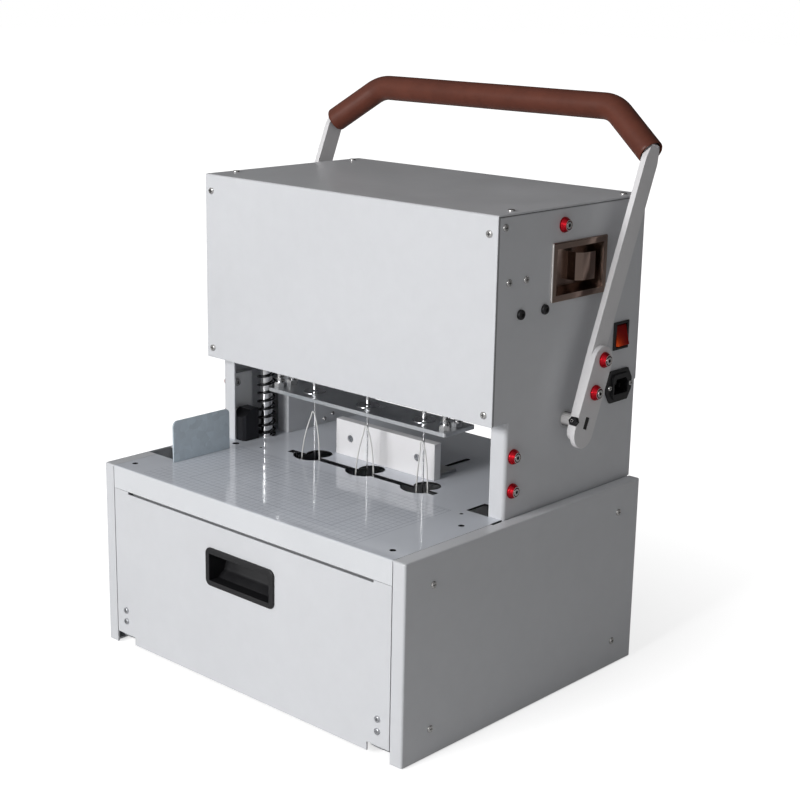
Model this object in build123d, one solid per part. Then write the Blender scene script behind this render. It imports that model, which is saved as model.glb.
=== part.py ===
from build123d import *
from math import asin, atan2, ceil, cos, hypot, pi, radians, sin, sqrt, tan
import os

# Three-hole paper binding machine.
# Frame: +X to the machine's right, +Y to its back, +Z up, millimetres.
# The origin lies on the surface that it stands on, under the middle of the machine's whole outline.

# Base
BASE_W = 440.0
BASE_D = 372.0
PANEL_H = 204.0
FOOT_PROUD = 2.0
SHEET = 2.0
LEVER_OVERHANG = 4.8
FRONT_Y = -BASE_D / 2 - LEVER_OVERHANG
REAR_Y = FRONT_Y + BASE_D
TABLE_Z = FOOT_PROUD + PANEL_H
SIDE_X = BASE_W / 2
SIDE_FLANGE = 15.0
FLOOR_Z = 10.0
SEAM = 0.4
PANEL_SCREW_Y = (FRONT_Y + 39.3, REAR_Y - 37.5)
PANEL_SCREW_Z = (30.0, 176.0)
LIP_BOTTOM_Z = 181.0

# Frame plates and housing
PLATE_X = SIDE_X - 14.8
PLATE_T = 2.0
FRAME_LEFT_X = -PLATE_X
COLUMN_FRONT_Y = FRONT_Y + 158.0
COLUMN_FLANGE_W = 18.6
HOUSE_FRONT_Y = FRONT_Y + 135.4
HOUSE_BOTTOM_Z = 304.4
HOUSE_TOP_Z = 508.2
COVER_T = 1.5
REAR_COVER_Y = REAR_Y + 2.6
REAR_COVER_BOTTOM_Z = 312.4
BEAM_Z = (HOUSE_TOP_Z - 25.2, HOUSE_TOP_Z - 15.2)
INNER_WALL_X = PLATE_X - 40.2
INNER_WALL_Y = COLUMN_FRONT_Y + 63.0
INNER_WALL_RETURN = 17.0
LINER_TOP_Z = TABLE_Z + 180.0

# Drilling positions
HOLE_PITCH = 80.0
HOLES_X = (-HOLE_PITCH, 0.0, HOLE_PITCH)
HOLE_Y = FRONT_Y + 180.0

# Lever
PIVOT_Y = HOLE_Y + 72.7
PIVOT_Z = 292.0
LEAN = 22.1
ARM_INNER_X = PLATE_X + 15.1
ARM_T = 6.2
ARM_W = 22.0
HUB_T = 5.2
HUB_W = 32.0
HUB_LOW_U = -10.0
HUB_TOP_U = 64.0
ARM_OFFSET = 5.0
ARM_FOOT_TAPER = 3.0
CLAMP_R = 1.6
TANG_W = 6.5
TANG_L = 12.6
SHAFT_R = 7.3
BEARING_R = 10.0
GRIP_END_U = 279.4
GRIP_BEND_U = 323.8
GRIP_BEND_X = ARM_INNER_X - 56.3
GRIP_END_X = ARM_INNER_X + 2.7
GRIP_R = 13.9
GRIP_BORE_R = 11.7
CORE_R = 10.0
GRIP_BEND_R = 38.0
ARM_TOP_U = 287.0

# Rack and pinion
MODULE = 2.5
PINION_TEETH = 32
PINION_R = MODULE * PINION_TEETH / 2
STROKE = 78.0
LEVER_RANGE = STROKE / PINION_R
RACK_X = (PLATE_X - 16.2, PLATE_X - 6.2)
BACKLASH = 0.5

# Drill head
HEAD_UNDER_Z = 396.0
HEAD_T = 12.0
HEAD_Z = (HEAD_UNDER_Z, HEAD_UNDER_Z + HEAD_T)
COLUMN_X = PLATE_X - 29.2
COLUMN_Y = HOLE_Y + 17.0
COLUMN_R = 7.0
SPINDLE_R = 6.0
DRILL_R = 2.5
DRILL_BORE_R = 1.8
DRILL_TIP_Z = 281.0
PULLEY_R = 20.0
MOTOR_PULLEY_R = 15.0
BELT_Z = (HEAD_UNDER_Z - 13.0, HEAD_UNDER_Z - 4.0)
SPINDLE_FOOT_Z = HEAD_UNDER_Z - 24.0
CHUCK_Z = (HEAD_UNDER_Z - 50.0, HEAD_UNDER_Z - 19.0)
DRILL_TOP_Z = HEAD_UNDER_Z - 30.0
MOTOR_XY = (0.0, HOLE_Y + 84.0)
IDLER_R = 9.0
IDLER_Y = HOLE_Y - 21.5
IDLERS_X = (-40.0, 40.0)
RUNNING = 0.05

# Press plate
PRESS_Z = (275.0, 279.0)
PRESS_X = 129.0
PRESS_Y = (HOLE_Y - 24.0, HOLE_Y + 23.8)
POST_X = 120.5
POSTS_Y = (HOLE_Y - 14.0, HOLE_Y + 5.0)
POST_R = 3.0

# Springs: wire radius and coil centre radius, then number of turns
COLUMN_SPRING = (1.1, 9.6)
COLUMN_SPRING_TURNS = 20
POST_SPRING = (0.7, 4.6)
POST_SPRING_TURNS = 11

# Needles and threads
NEEDLE_R = 1.0
NEEDLE_TIP_Z = 274.0
HOOK_Z = 257.0
NEEDLE_BAR_Z = (130.0, 142.0)
NEEDLE_BAR_GUIDE_X = HOLE_PITCH + 30.0
THREAD_R = 0.75
GUIDE_BAR_Z = (180.0, 188.0)
SPOOL_Y = HOLE_Y - 98.0
SPOOL_Z = 84.0
SPOOL_R = 26.0

# Paper guides
BACKSTOP_X = (-71.0, 74.0)
BACKSTOP_Y = (HOLE_Y + 24.5, HOLE_Y + 34.5)
BACKSTOP_SLOT_Y = (HOLE_Y + 39.0, HOLE_Y + 110.0)
BACKSTOP_TOP_Z = 246.0
GUIDE_X = FRAME_LEFT_X + 38.9
GUIDE_Y = (FRONT_Y + 51.0, FRONT_Y + 131.0)
GUIDE_TOP_Z = 252.0
GUIDE_SLOT = (3.0 - SIDE_X, GUIDE_X - 0.5, FRONT_Y + 59.0, FRONT_Y + 90.0)
GUIDE_ROD_Y = FRONT_Y + 75.0
GUIDE_ROD_Z = TABLE_Z - 11.5

# Door
DOOR_X = SIDE_X - 16.1
DOOR_Z = (6.0, 178.0)
DOOR_EAR_Z = 180.6
DOOR_EAR_W = 23.0
DOOR_T = 1.5
DOOR_NOTCH = (29.0, 15.0)
DOOR_PIN_Y = FRONT_Y + 7.0
DOOR_SCREW_X = DOOR_X - 15.3
HINGE_X = DOOR_X - 14.9
DOOR_PIN_Z = 13.5
PULL_X = -3.5
PULL_Z = 132.3
PULL_W = 101.5
PULL_H = 41.4

# Right plate fittings, measured from the plate's own corner positions
RECESS_Y = (PIVOT_Y - 33.7, PIVOT_Y + 56.3)
RECESS_Z = (414.5, 473.4)
ROCKER_Y = (REAR_Y - 42.4, REAR_Y - 16.6)
ROCKER_Z = (349.5, 379.0)
ROCKER_AXIS_X = PLATE_X - 1.0
ROCKER_PIN_R = 1.3
INLET_Y = (REAR_Y - 52.4, REAR_Y - 8.0)
INLET_Z = (294.0, 328.0)

# Screws of the side plates: (Y, Z)
FRAME_COLLARS = (
    (PIVOT_Y - 15.7, HOUSE_TOP_Z - 18.2), (COLUMN_FRONT_Y + 12.0, TABLE_Z + 63.0),
    (COLUMN_FRONT_Y + 12.0, TABLE_Z + 28.0),
)
PLATE_SCREWS = (
    (HOUSE_FRONT_Y + 18.6, HOUSE_TOP_Z - 65.2), (HOUSE_FRONT_Y + 44.6, HOUSE_TOP_Z - 65.2),
    (HOUSE_FRONT_Y + 10.6, HOUSE_TOP_Z - 12.2),
)
CAPS_Y = (HOUSE_FRONT_Y + 37.6, HOUSE_FRONT_Y + 75.1)
CAPS_Z = HOUSE_TOP_Z - 98.2
LINER_SCREWS = ((INNER_WALL_Y + 72.4, TABLE_Z + 9.5), (INNER_WALL_Y + 59.0, TABLE_Z + 5.6))
BRACKET_SCREWS_Y = COLUMN_FRONT_Y + 10.5
BRACKET_FACE_X = 9.2 - PLATE_X
BRACKET_SCREWS_Z = (236.5, 270.5)
COLLAR_H = 6.2
COLLAR_SEAT = 3.0
FRONT_SCREWS_X = (9.2 - PLATE_X, PLATE_X - 10.2)
FRONT_SCREWS_Z = (315.4, 490.2)
TOP_SCREWS_X = PLATE_X - 12.0
TOP_SCREWS_Y = (HOUSE_FRONT_Y + 33.6, REAR_COVER_Y - 22.6)
REAR_SCREWS_Z = (330.0, 490.0)

NODES = {}


def keep(name, shape):
    NODES[name] = shape
    return shape


def block(x0, x1, y0, y1, z0, z1):
    return Pos((x0 + x1) / 2, (y0 + y1) / 2, (z0 + z1) / 2) * Box(x1 - x0, y1 - y0, z1 - z0)


def rod_x(r, x0, x1, y, z):
    return Pos((x0 + x1) / 2, y, z) * Rot(0, 90, 0) * Cylinder(r, x1 - x0)


def rod_y(r, y0, y1, x, z):
    return Pos(x, (y0 + y1) / 2, z) * Rot(90, 0, 0) * Cylinder(r, y1 - y0)


def rod_z(r, z0, z1, x, y):
    return Pos(x, y, (z0 + z1) / 2) * Cylinder(r, z1 - z0)


def prism_x(points, x0, x1):
    face = make_face(Polyline(*points, close=True))
    return Plane.YZ.offset(x0) * extrude(face, x1 - x0)


def merged(shapes):
    total = shapes[0]
    for shape in shapes[1:]:
        total = total + shape
    return total


def group(shapes):
    solids = []
    for shape in shapes:
        solids.extend(shape.solids())
    return Compound(children=solids)


def edges_at(shape, axis, **near):
    found = shape.edges().filter_by(axis)
    for name, value in near.items():
        along = {"x": Axis.X, "y": Axis.Y, "z": Axis.Z}[name]
        found = found.filter_by_position(along, value - 0.01, value + 0.01)
    return found


# Lever plane: x is the machine's X, y runs up the lever, z points forward out of its front edge
LEVER = Plane(
    origin=(0, PIVOT_Y, PIVOT_Z),
    x_dir=(1, 0, 0),
    z_dir=(0, -cos(radians(LEAN)), sin(radians(LEAN))),
)


def countersunk_screw(r, length):
    # Domed machine screw standing on +Z, its head on the plane z = 0
    head = Pos(0, 0, 0.9) * Cylinder(r * 1.85, 1.8)
    head = fillet(head.edges().filter_by(GeomType.CIRCLE).group_by(Axis.Z)[-1], 1.2)
    cross = Pos(0, 0, 1.6) * (Box(r * 2, 0.7, 1.2) + Box(0.7, r * 2, 1.2))
    return head - cross + Pos(0, 0, -length / 2) * Cylinder(r, length)


def socket_screw(r, length, head_h):
    head = Pos(0, 0, head_h / 2) * Cylinder(r * 1.7, head_h)
    head = fillet(head.edges().filter_by(GeomType.CIRCLE).group_by(Axis.Z)[-1], 0.6)
    socket = Pos(0, 0, head_h - 1.2) * extrude(RegularPolygon(r * 0.85, 6), 2.0)
    return head - socket + Pos(0, 0, -length / 2) * Cylinder(r, length)


def cup_washer(r, bore):
    # Tall tapered collar with a counterbore that a screw's head sits in
    seat = r - 3.0
    profile = Polyline(
        (bore, 0), (r, 0), (r, 1.6), (seat + 0.7, COLLAR_H), (seat, COLLAR_H), (seat, COLLAR_SEAT),
        (bore, COLLAR_SEAT), close=True
    )
    return revolve(Plane.XZ * make_face(profile), Axis.Z)


def collar_screw(r, length, head_r, head_h):
    # Cap screw standing on +Z, its head on the plane z = 0
    head = Pos(0, 0, head_h / 2) * Cylinder(head_r, head_h)
    head = fillet(head.edges().filter_by(GeomType.CIRCLE).group_by(Axis.Z)[-1], 0.5)
    socket = Pos(0, 0, head_h - 2.0) * extrude(RegularPolygon(head_r * 0.52, 6), 2.5)
    return head - socket + Pos(0, 0, -length / 2) * Cylinder(r, length)


def on_side(shape, side, x, y, z):
    # Puts a part that stands on +Z onto a side plate, pointing outwards along X
    return Pos(side * x, y, z) * Rot(0, 90 * side, 0) * shape


def on_front(shape, x, y, z):
    return Pos(x, y, z) * Rot(90, 0, 0) * shape


def on_rear(shape, x, y, z):
    return Pos(x, y, z) * Rot(-90, 0, 0) * shape


def biarc(p0, t0, p1, t1):
    # Two arcs that leave p0 along t0 and reach p1 along t1
    chord = p1 - p0
    both_ways = t0 + t1
    a = both_ways.dot(both_ways) - 4.0
    b = -2.0 * chord.dot(both_ways)
    c = chord.dot(chord)
    d = (-b - sqrt(b * b - 4.0 * a * c)) / (2.0 * a)
    middle = (p0 + t0 * d + p1 - t1 * d) * 0.5
    first = TangentArc(p0, middle, tangent=t0)
    return [first, TangentArc(middle, p1, tangent=first % 1)]


def least_gap(points, closest_apart, wire):
    # Least free gap between parts of the coil that are at least closest_apart points from each other
    least = 1e9
    for i, p in enumerate(points):
        for q in points[i + closest_apart:i + 3 * closest_apart]:
            least = min(least, sqrt((p[0] - q[0]) ** 2 + (p[1] - q[1]) ** 2 + (p[2] - q[2]) ** 2))
    return least - 2 * wire


def spring(spec, turns, z0, z1, x, y):
    # Open compression spring of round wire: steady half turns, each a biarc
    wire, centre_r = spec
    low = z0 + wire
    pitch = (z1 - wire - low) / turns
    rise = pitch / (2 * pi)

    def at(angle):
        return Vector(centre_r * cos(angle), centre_r * sin(angle), low + rise * angle)

    def along(angle):
        return Vector(-centre_r * sin(angle), centre_r * cos(angle), rise).normalized()

    edges = []
    for k in range(2 * turns):
        a, b = k * pi, (k + 1) * pi
        edges.extend(biarc(at(a), along(a), at(b), along(b)))
    path = Wire(edges)
    section = Plane(origin=at(0), z_dir=along(0)) * Circle(wire)
    coil = sweep(section, path=path)
    points = []
    for edge in edges:
        points.extend([tuple(edge @ (i / 6)) for i in range(6)])
    print("spring of %d turns, pitch %.2f: least gap to itself %.2f" % (
        turns, pitch, least_gap(points, 18, wire)))
    return Pos(x, y, 0) * coil


# Base

def base_side(side):
    inner = SIDE_X - SHEET
    wall = block(inner, SIDE_X, FRONT_Y, REAR_Y, FOOT_PROUD, TABLE_Z)
    front = block(SIDE_X - SIDE_FLANGE, SIDE_X, FRONT_Y, FRONT_Y + SHEET, FOOT_PROUD, TABLE_Z)
    rear = block(SIDE_X - SIDE_FLANGE, SIDE_X, REAR_Y - SHEET, REAR_Y, FOOT_PROUD, TABLE_Z)
    top = block(PLATE_X - 0.7, SIDE_X, FRONT_Y, REAR_Y, TABLE_Z - SHEET, TABLE_Z)
    gap = block(PLATE_X - 2, PLATE_X + 1.6, COLUMN_FRONT_Y - 17, REAR_Y + 1, TABLE_Z - 5, TABLE_Z + 1)
    bottom = block(SIDE_X - 12, SIDE_X, FRONT_Y, REAR_Y, FOOT_PROUD, FOOT_PROUD + SHEET)
    body = wall + front + rear + top + bottom - gap
    outer = edges_at(body, Axis.Z, x=SIDE_X)
    body = fillet(outer, 2.4)
    top_edge = edges_at(body, Axis.Y, x=SIDE_X, z=TABLE_Z)
    body = fillet(top_edge, 1.6)
    for y in PANEL_SCREW_Y:
        for z in PANEL_SCREW_Z:
            body = body - rod_x(2.1, inner - 1, SIDE_X + 1, y, z)
    if side < 0:
        body = mirror(body, about=Plane.YZ)
        x0, x1, y0, y1 = GUIDE_SLOT
        body = body - block(x0, x1, y0, y1, TABLE_Z - 5, TABLE_Z + 1)
    return body


def table_slot():
    # Connected black slot under the three needles: round lobes behind, shallow arcs in front
    y_mid = FRONT_Y + 173.5
    slot = block(-112, 104, y_mid - 4.5, y_mid + 4.5, TABLE_Z - 4, TABLE_Z + 1)
    for x in HOLES_X:
        slot = slot + rod_z(14.5, TABLE_Z - 4, TABLE_Z + 1, x, FRONT_Y + 187.5)
        arc = rod_z(21.5, TABLE_Z - 4, TABLE_Z + 1, x - 3, FRONT_Y + 180.0)
        limit = block(x - 22, x + 18, FRONT_Y + 150, FRONT_Y + 178, TABLE_Z - 5, TABLE_Z + 2)
        slot = slot + (arc & limit)
    return slot


def table_panel():
    width = PLATE_X - 0.7 - SEAM
    narrow = PLATE_X - PLATE_T - 0.3
    top = block(-width, width, FRONT_Y + SHEET, REAR_Y - SHEET, TABLE_Z - SHEET, TABLE_Z)
    lip = block(-width, width, FRONT_Y, FRONT_Y + SHEET, LIP_BOTTOM_Z, TABLE_Z)
    rear_lip = block(-narrow, narrow, REAR_Y - SHEET, REAR_Y, TABLE_Z - 14, TABLE_Z)
    body = top + lip + rear_lip
    body = fillet(edges_at(body, Axis.X, y=FRONT_Y, z=TABLE_Z), 1.6)
    for side in (-1, 1):
        x0, x1 = sorted((side * narrow, side * (width + 1)))
        body = body - block(x0, x1, COLUMN_FRONT_Y - 17, REAR_Y + 1, TABLE_Z - 5, TABLE_Z + 1)
    body = body - table_slot()
    x0, x1, y0, y1 = GUIDE_SLOT
    body = body - block(x0, x1, y0, y1, TABLE_Z - 5, TABLE_Z + 1)
    right = PLATE_X - 18.2
    body = body - block(right - 28.0, right, FRONT_Y + 157, FRONT_Y + 186, TABLE_Z - 5, TABLE_Z + 1)
    for s in (-1, 1):
        body = body - rod_z(COLUMN_R, TABLE_Z - 5, TABLE_Z + 1, s * COLUMN_X, COLUMN_Y)
    for x, y in ((12.2 - PLATE_X, 20.0), (right - 1.0, 20.0), (right - 1.0, 117.8)):
        body = body - rod_z(3.2, TABLE_Z - 5, TABLE_Z + 1, x, FRONT_Y + y)
    for x, y, r in ((right - 24.0, 145.0, 2.0), (30.2 - PLATE_X, 149.0, 4.0), (62.2 - PLATE_X, 158.0, 1.6)):
        body = body - rod_z(r, TABLE_Z - 5, TABLE_Z + 1, x, FRONT_Y + y)
    for x in (-45.0, 48.0):
        body = body - block(x - 3.1, x + 3.1, *BACKSTOP_SLOT_Y, TABLE_Z - 5, TABLE_Z + 1)
        for y in BACKSTOP_SLOT_Y:
            body = body - rod_z(3.1, TABLE_Z - 5, TABLE_Z + 1, x, y)
    return body


def base_floor():
    wide = SIDE_X - 4
    lip = SIDE_X - 50
    plate = block(-wide, wide, FRONT_Y + 20, REAR_Y - 4, FLOOR_Z, FLOOR_Z + SHEET)
    front = block(-lip, lip, FRONT_Y + 20, FRONT_Y + 22, FLOOR_Z, FLOOR_Z + 14)
    return plate + front


def base_rear():
    plate = block(-SIDE_X + SIDE_FLANGE + SEAM, SIDE_X - SIDE_FLANGE - SEAM,
                  REAR_Y - SHEET, REAR_Y, FLOOR_Z + SHEET, TABLE_Z - 14.4)
    vents = []
    for i in range(9):
        x = -80 + i * 20
        vents.append(block(x - 2.5, x + 2.5, REAR_Y - 4, REAR_Y + 1, 60, 110))
    return plate - merged(vents)


def rubber_feet():
    feet = []
    for x in (40 - SIDE_X, SIDE_X - 40):
        for y in (FRONT_Y + 45, REAR_Y - 30):
            foot = Pos(x, y, FLOOR_Z / 2) * Cone(11, 13, FLOOR_Z)
            feet.append(foot)
    return group(feet)


def base_standoffs():
    parts = []
    for side in (-1, 1):
        for y in PANEL_SCREW_Y:
            for z in PANEL_SCREW_Z:
                a, b = sorted((side * PLATE_X, side * (SIDE_X - SHEET)))
                post = rod_x(6, a, b, y, z) - rod_x(2.0, a - 1, b + 1, y, z)
                parts.append(post)
    return group(parts)


def base_screws():
    parts = []
    for side in (-1, 1):
        for y in PANEL_SCREW_Y:
            for z in PANEL_SCREW_Z:
                parts.append(on_side(countersunk_screw(2.0, 10), side, SIDE_X, y, z))
    return group(parts)


# Door with its flush pull

def front_door():
    x = DOOR_X
    back = FRONT_Y + DOOR_T
    panel = block(-x, x, FRONT_Y, back, DOOR_Z[0], DOOR_Z[1])
    ears = [block(s * x - DOOR_EAR_W * (s > 0), s * x + DOOR_EAR_W * (s < 0), FRONT_Y, back,
                  DOOR_Z[1] - 1, DOOR_EAR_Z) for s in (-1, 1)]
    lips = [block(min(s * x, s * (x - DOOR_T)), max(s * x, s * (x - DOOR_T)), back, FRONT_Y + 13,
                  DOOR_NOTCH[1] + 6, DOOR_Z[1] - 2) for s in (-1, 1)]
    top = block(-x, x, back, FRONT_Y + 12, DOOR_Z[1] - 2 - DOOR_T, DOOR_Z[1] - 2)
    body = merged([panel] + ears + lips + [top])
    for s in (-1, 1):
        a, b = sorted((s * (x + 1), s * (x - DOOR_NOTCH[0])))
        body = body - block(a, b, FRONT_Y - 1, FRONT_Y + 14, DOOR_Z[0] - 1, DOOR_NOTCH[1])
        for z in (30.4, 43.0):
            body = body - rod_y(2.1, FRONT_Y - 1, FRONT_Y + 3, s * DOOR_SCREW_X, z)
    hole = Pos(PULL_X, FRONT_Y + 1, PULL_Z) * Box(PULL_W - 8, 8, PULL_H - 8)
    return body - hole


def door_pull():
    # Black flush pull: rounded bezel, deep scoop behind it, open below the finger lip
    face = Plane(origin=(PULL_X, FRONT_Y, PULL_Z), x_dir=(1, 0, 0), z_dir=(0, -1, 0))
    bezel = face * extrude(RectangleRounded(PULL_W, PULL_H, 7), 2.2)
    bezel = fillet(bezel.edges().group_by(Axis.Y)[0], 1.4)
    cup = face * extrude(RectangleRounded(PULL_W - 8.6, PULL_H - 8.6, 4), -24)
    body = bezel + cup
    mouth = face * Pos(0, 0, 3) * extrude(RectangleRounded(PULL_W - 12.5, PULL_H - 12.5, 3), -8)
    low, high = PULL_Z - PULL_H / 2 + 6.2, PULL_Z + PULL_H / 2 - 6.2
    y0 = FRONT_Y - 3
    scoop = prism_x(
        [(y0, low), (FRONT_Y + 10, low), (FRONT_Y + 19, low + 7), (FRONT_Y + 21.5, low + 16),
         (FRONT_Y + 21.5, high), (y0, high)],
        PULL_X - PULL_W / 2 + 6.2, PULL_X + PULL_W / 2 - 6.2,
    )
    scoop = fillet(edges_at(scoop, Axis.X, y=FRONT_Y + 19), 6)
    return body - mouth - scoop


def door_leaf(side):
    x0, x1 = sorted((side * (HINGE_X - 12.5), side * (HINGE_X + 12.5)))
    y0 = FRONT_Y + DOOR_T
    leaf = block(x0, x1, y0, y0 + 1.8, DOOR_PIN_Z, 54)
    a, b = sorted((side * (HINGE_X - 6), side * (HINGE_X + 6)))
    knuckle = rod_x(3.6, a, b, DOOR_PIN_Y, DOOR_PIN_Z)
    web = block(a, b, y0, DOOR_PIN_Y, DOOR_PIN_Z - 1, DOOR_PIN_Z + 3.6)
    leaf = leaf - block(x0 - 1, a, y0 - 1, y0 + 3, DOOR_PIN_Z - 5, DOOR_PIN_Z + 6.5)
    leaf = leaf - block(b, x1 + 1, y0 - 1, y0 + 3, DOOR_PIN_Z - 5, DOOR_PIN_Z + 6.5)
    body = leaf + knuckle + web - rod_x(1.65, a - 1, b + 1, DOOR_PIN_Y, DOOR_PIN_Z)
    for z in (30.4, 43.0):
        body = body - rod_y(2.0, y0 - 1, y0 + 4, side * DOOR_SCREW_X, z)
    return body


def hinge_bracket(side):
    # Fixed half of the hinge: two knuckles on a foot that lies on the base floor
    parts = []
    for c in (HINGE_X - 9.0, HINGE_X + 9.0):
        a, b = sorted((side * (c - 2.7), side * (c + 2.7)))
        knuckle = rod_x(3.6, a, b, DOOR_PIN_Y, DOOR_PIN_Z)
        arm = block(a, b, DOOR_PIN_Y, FRONT_Y + 22, DOOR_PIN_Z - 1.4, DOOR_PIN_Z + 3.6)
        parts.append(knuckle + arm - rod_x(1.6, a - 1, b + 1, DOOR_PIN_Y, DOOR_PIN_Z))
    a, b = sorted((side * (HINGE_X - 11.7), side * (HINGE_X + 11.7)))
    foot = block(a, b, FRONT_Y + 22, FRONT_Y + 44, FLOOR_Z + SHEET, FLOOR_Z + SHEET + 5.1)
    return merged(parts + [foot])


def hinge_bar(side):
    a, b = sorted((side * (HINGE_X - 12.2), side * (HINGE_X + 12.2)))
    return rod_x(1.6, a, b, DOOR_PIN_Y, DOOR_PIN_Z)


def door_screws():
    parts = []
    for s in (-1, 1):
        for z in (30.4, 43.0):
            parts.append(on_front(countersunk_screw(1.9, 4.5), s * 188.6, FRONT_Y, z))
    return group(parts)


# Frame plates, inner walls and covers

def frame_plate(side):
    back = REAR_Y - SHEET - 0.3
    top = HOUSE_TOP_Z - COVER_T - 0.2
    forward = HOUSE_FRONT_Y + COVER_T + 0.2
    rear_edge = REAR_COVER_Y - SHEET - 0.2
    outline = [
        (FRONT_Y + 24, FLOOR_Z + SHEET), (back, FLOOR_Z + SHEET), (back, TABLE_Z), (rear_edge, TABLE_Z),
        (rear_edge, top), (forward, top),
        (forward, HOUSE_BOTTOM_Z + 1), (COLUMN_FRONT_Y, HOUSE_BOTTOM_Z + 1),
        (COLUMN_FRONT_Y, TABLE_Z - SHEET), (FRONT_Y + 24, TABLE_Z - SHEET),
    ]
    plate = prism_x(outline, PLATE_X - PLATE_T, PLATE_X)
    flange = block(PLATE_X - COLUMN_FLANGE_W, PLATE_X, COLUMN_FRONT_Y, COLUMN_FRONT_Y + PLATE_T,
                   TABLE_Z, HOUSE_BOTTOM_Z)
    body = plate + flange
    corner = body.edges().filter_by(Axis.Z).filter_by_position(Axis.X, PLATE_X - 0.01, PLATE_X + 0.01)
    corner = corner.filter_by_position(Axis.Y, COLUMN_FRONT_Y - 0.01, COLUMN_FRONT_Y + 0.01)
    corner = corner.filter_by_position(Axis.Z, TABLE_Z + 20, HOUSE_BOTTOM_Z)
    body = fillet(corner, 4.2)
    body = body - rod_x(BEARING_R, PLATE_X - 5, PLATE_X + 5, PIVOT_Y, PIVOT_Z)
    body = body - block(PLATE_X - 5, PLATE_X + 5, RECESS_Y[0] + 3, RECESS_Y[1] - 3,
                        RECESS_Z[0] + 3, RECESS_Z[1] - 3)
    for y, z in FRAME_COLLARS:
        body = body - rod_x(2.5, PLATE_X - 5, PLATE_X + 5, y, z)
    for y, z in PLATE_SCREWS:
        body = body - rod_x(2.0, PLATE_X - 5, PLATE_X + 5, y, z)
    if side > 0:
        body = body - block(PLATE_X - 5, PLATE_X + 5, ROCKER_Y[0] + 1.5, ROCKER_Y[1] - 1.5,
                            ROCKER_Z[0] + 0.8, ROCKER_Z[1] - 0.8)
        body = body - block(PLATE_X - 5, PLATE_X + 5, INLET_Y[0] + 7.5, INLET_Y[1] - 7.5,
                            INLET_Z[0] + 3, INLET_Z[1] - 3)
        return body
    low, high = GUIDE_SLOT[2] - 3, GUIDE_SLOT[3] + 3
    body = body - block(PLATE_X - 5, PLATE_X + 5, low, high, TABLE_Z - 22, TABLE_Z + 1)
    return mirror(body, about=Plane.YZ)


def inner_wall(side):
    # Folded liner of a column: a wall along Y and a narrow return that faces the front
    wall = block(INNER_WALL_X, INNER_WALL_X + COVER_T, INNER_WALL_Y, REAR_Y - 4, TABLE_Z, LINER_TOP_Z)
    front = block(INNER_WALL_X, INNER_WALL_X + INNER_WALL_RETURN, INNER_WALL_Y,
                  INNER_WALL_Y + COVER_T, TABLE_Z, LINER_TOP_Z)
    body = wall + front
    body = fillet(edges_at(body, Axis.Z, x=INNER_WALL_X, y=INNER_WALL_Y), 1.2)
    body = body - rod_x(SHAFT_R + 3, INNER_WALL_X - 3, INNER_WALL_X + 3, PIVOT_Y, PIVOT_Z)
    for y, z in LINER_SCREWS:
        body = body - rod_x(1.5, INNER_WALL_X - 3, INNER_WALL_X + 3, y, z)
    if side < 0:
        body = mirror(body, about=Plane.YZ)
    return body


def column_back(side):
    # Closes a column at the rear between its liner and its frame plate
    x0, x1 = INNER_WALL_X + COVER_T, PLATE_X - PLATE_T
    body = block(x0 + 0.2, x1, REAR_Y - 3.8, REAR_Y - 2.3, TABLE_Z, LINER_TOP_Z)
    if side < 0:
        body = mirror(body, about=Plane.YZ)
    return body


def liner_screws():
    parts = []
    for y, z in LINER_SCREWS:
        for s in (-1, 1):
            screw = countersunk_screw(1.5, 1.4)
            parts.append(Pos(s * INNER_WALL_X, y, z) * Rot(0, -90 * s, 0) * screw)
    return group(parts)


def front_cover():
    # One bent sheet: the front face and the top of the housing
    front = block(-PLATE_X, PLATE_X, HOUSE_FRONT_Y, HOUSE_FRONT_Y + COVER_T, HOUSE_BOTTOM_Z, HOUSE_TOP_Z)
    top = block(-PLATE_X, PLATE_X, HOUSE_FRONT_Y, REAR_COVER_Y - SHEET - 0.2,
                HOUSE_TOP_Z - COVER_T, HOUSE_TOP_Z)
    lip = block(-PLATE_X + 3, PLATE_X - 3, HOUSE_FRONT_Y, HOUSE_FRONT_Y + 12, HOUSE_BOTTOM_Z,
                HOUSE_BOTTOM_Z + COVER_T)
    body = front + top + lip
    bend = edges_at(body, Axis.X, y=HOUSE_FRONT_Y, z=HOUSE_TOP_Z)
    body = fillet(bend, 2.2)
    for x in FRONT_SCREWS_X:
        for z in FRONT_SCREWS_Z:
            body = body - rod_y(2.1, HOUSE_FRONT_Y - 1, HOUSE_FRONT_Y + 4, x, z)
    for s in (-1, 1):
        for y in TOP_SCREWS_Y:
            body = body - rod_z(2.1, HOUSE_TOP_Z - 4, HOUSE_TOP_Z + 1, s * TOP_SCREWS_X, y)
    return body


def cover_tabs():
    # Folded tabs fixed inside the frame plates, which take the cover's screws
    parts = []
    x1 = PLATE_X - PLATE_T
    front = HOUSE_FRONT_Y + COVER_T
    top = HOUSE_TOP_Z - COVER_T
    rear = REAR_COVER_Y - SHEET
    for s, x in zip((-1, 1), FRONT_SCREWS_X):
        a, b = sorted((s * (x1 - 16), s * x1))
        for z in FRONT_SCREWS_Z:
            tab = block(a, b, front, front + 2.5, z - 6, z + 6)
            parts.append(tab - rod_y(2.0, front - 1, front + 4, x, z))
        for y in TOP_SCREWS_Y:
            tab = block(a, b, y - 6, y + 6, top - 2.5, top)
            parts.append(tab - rod_z(2.0, top - 4, top + 1, s * TOP_SCREWS_X, y))
        for z in REAR_SCREWS_Z:
            tab = block(a, b, rear - 2.5, rear, z - 6, z + 6)
            parts.append(tab - rod_y(2.0, rear - 4, rear + 1, s * TOP_SCREWS_X, z))
    return group(parts)


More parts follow.
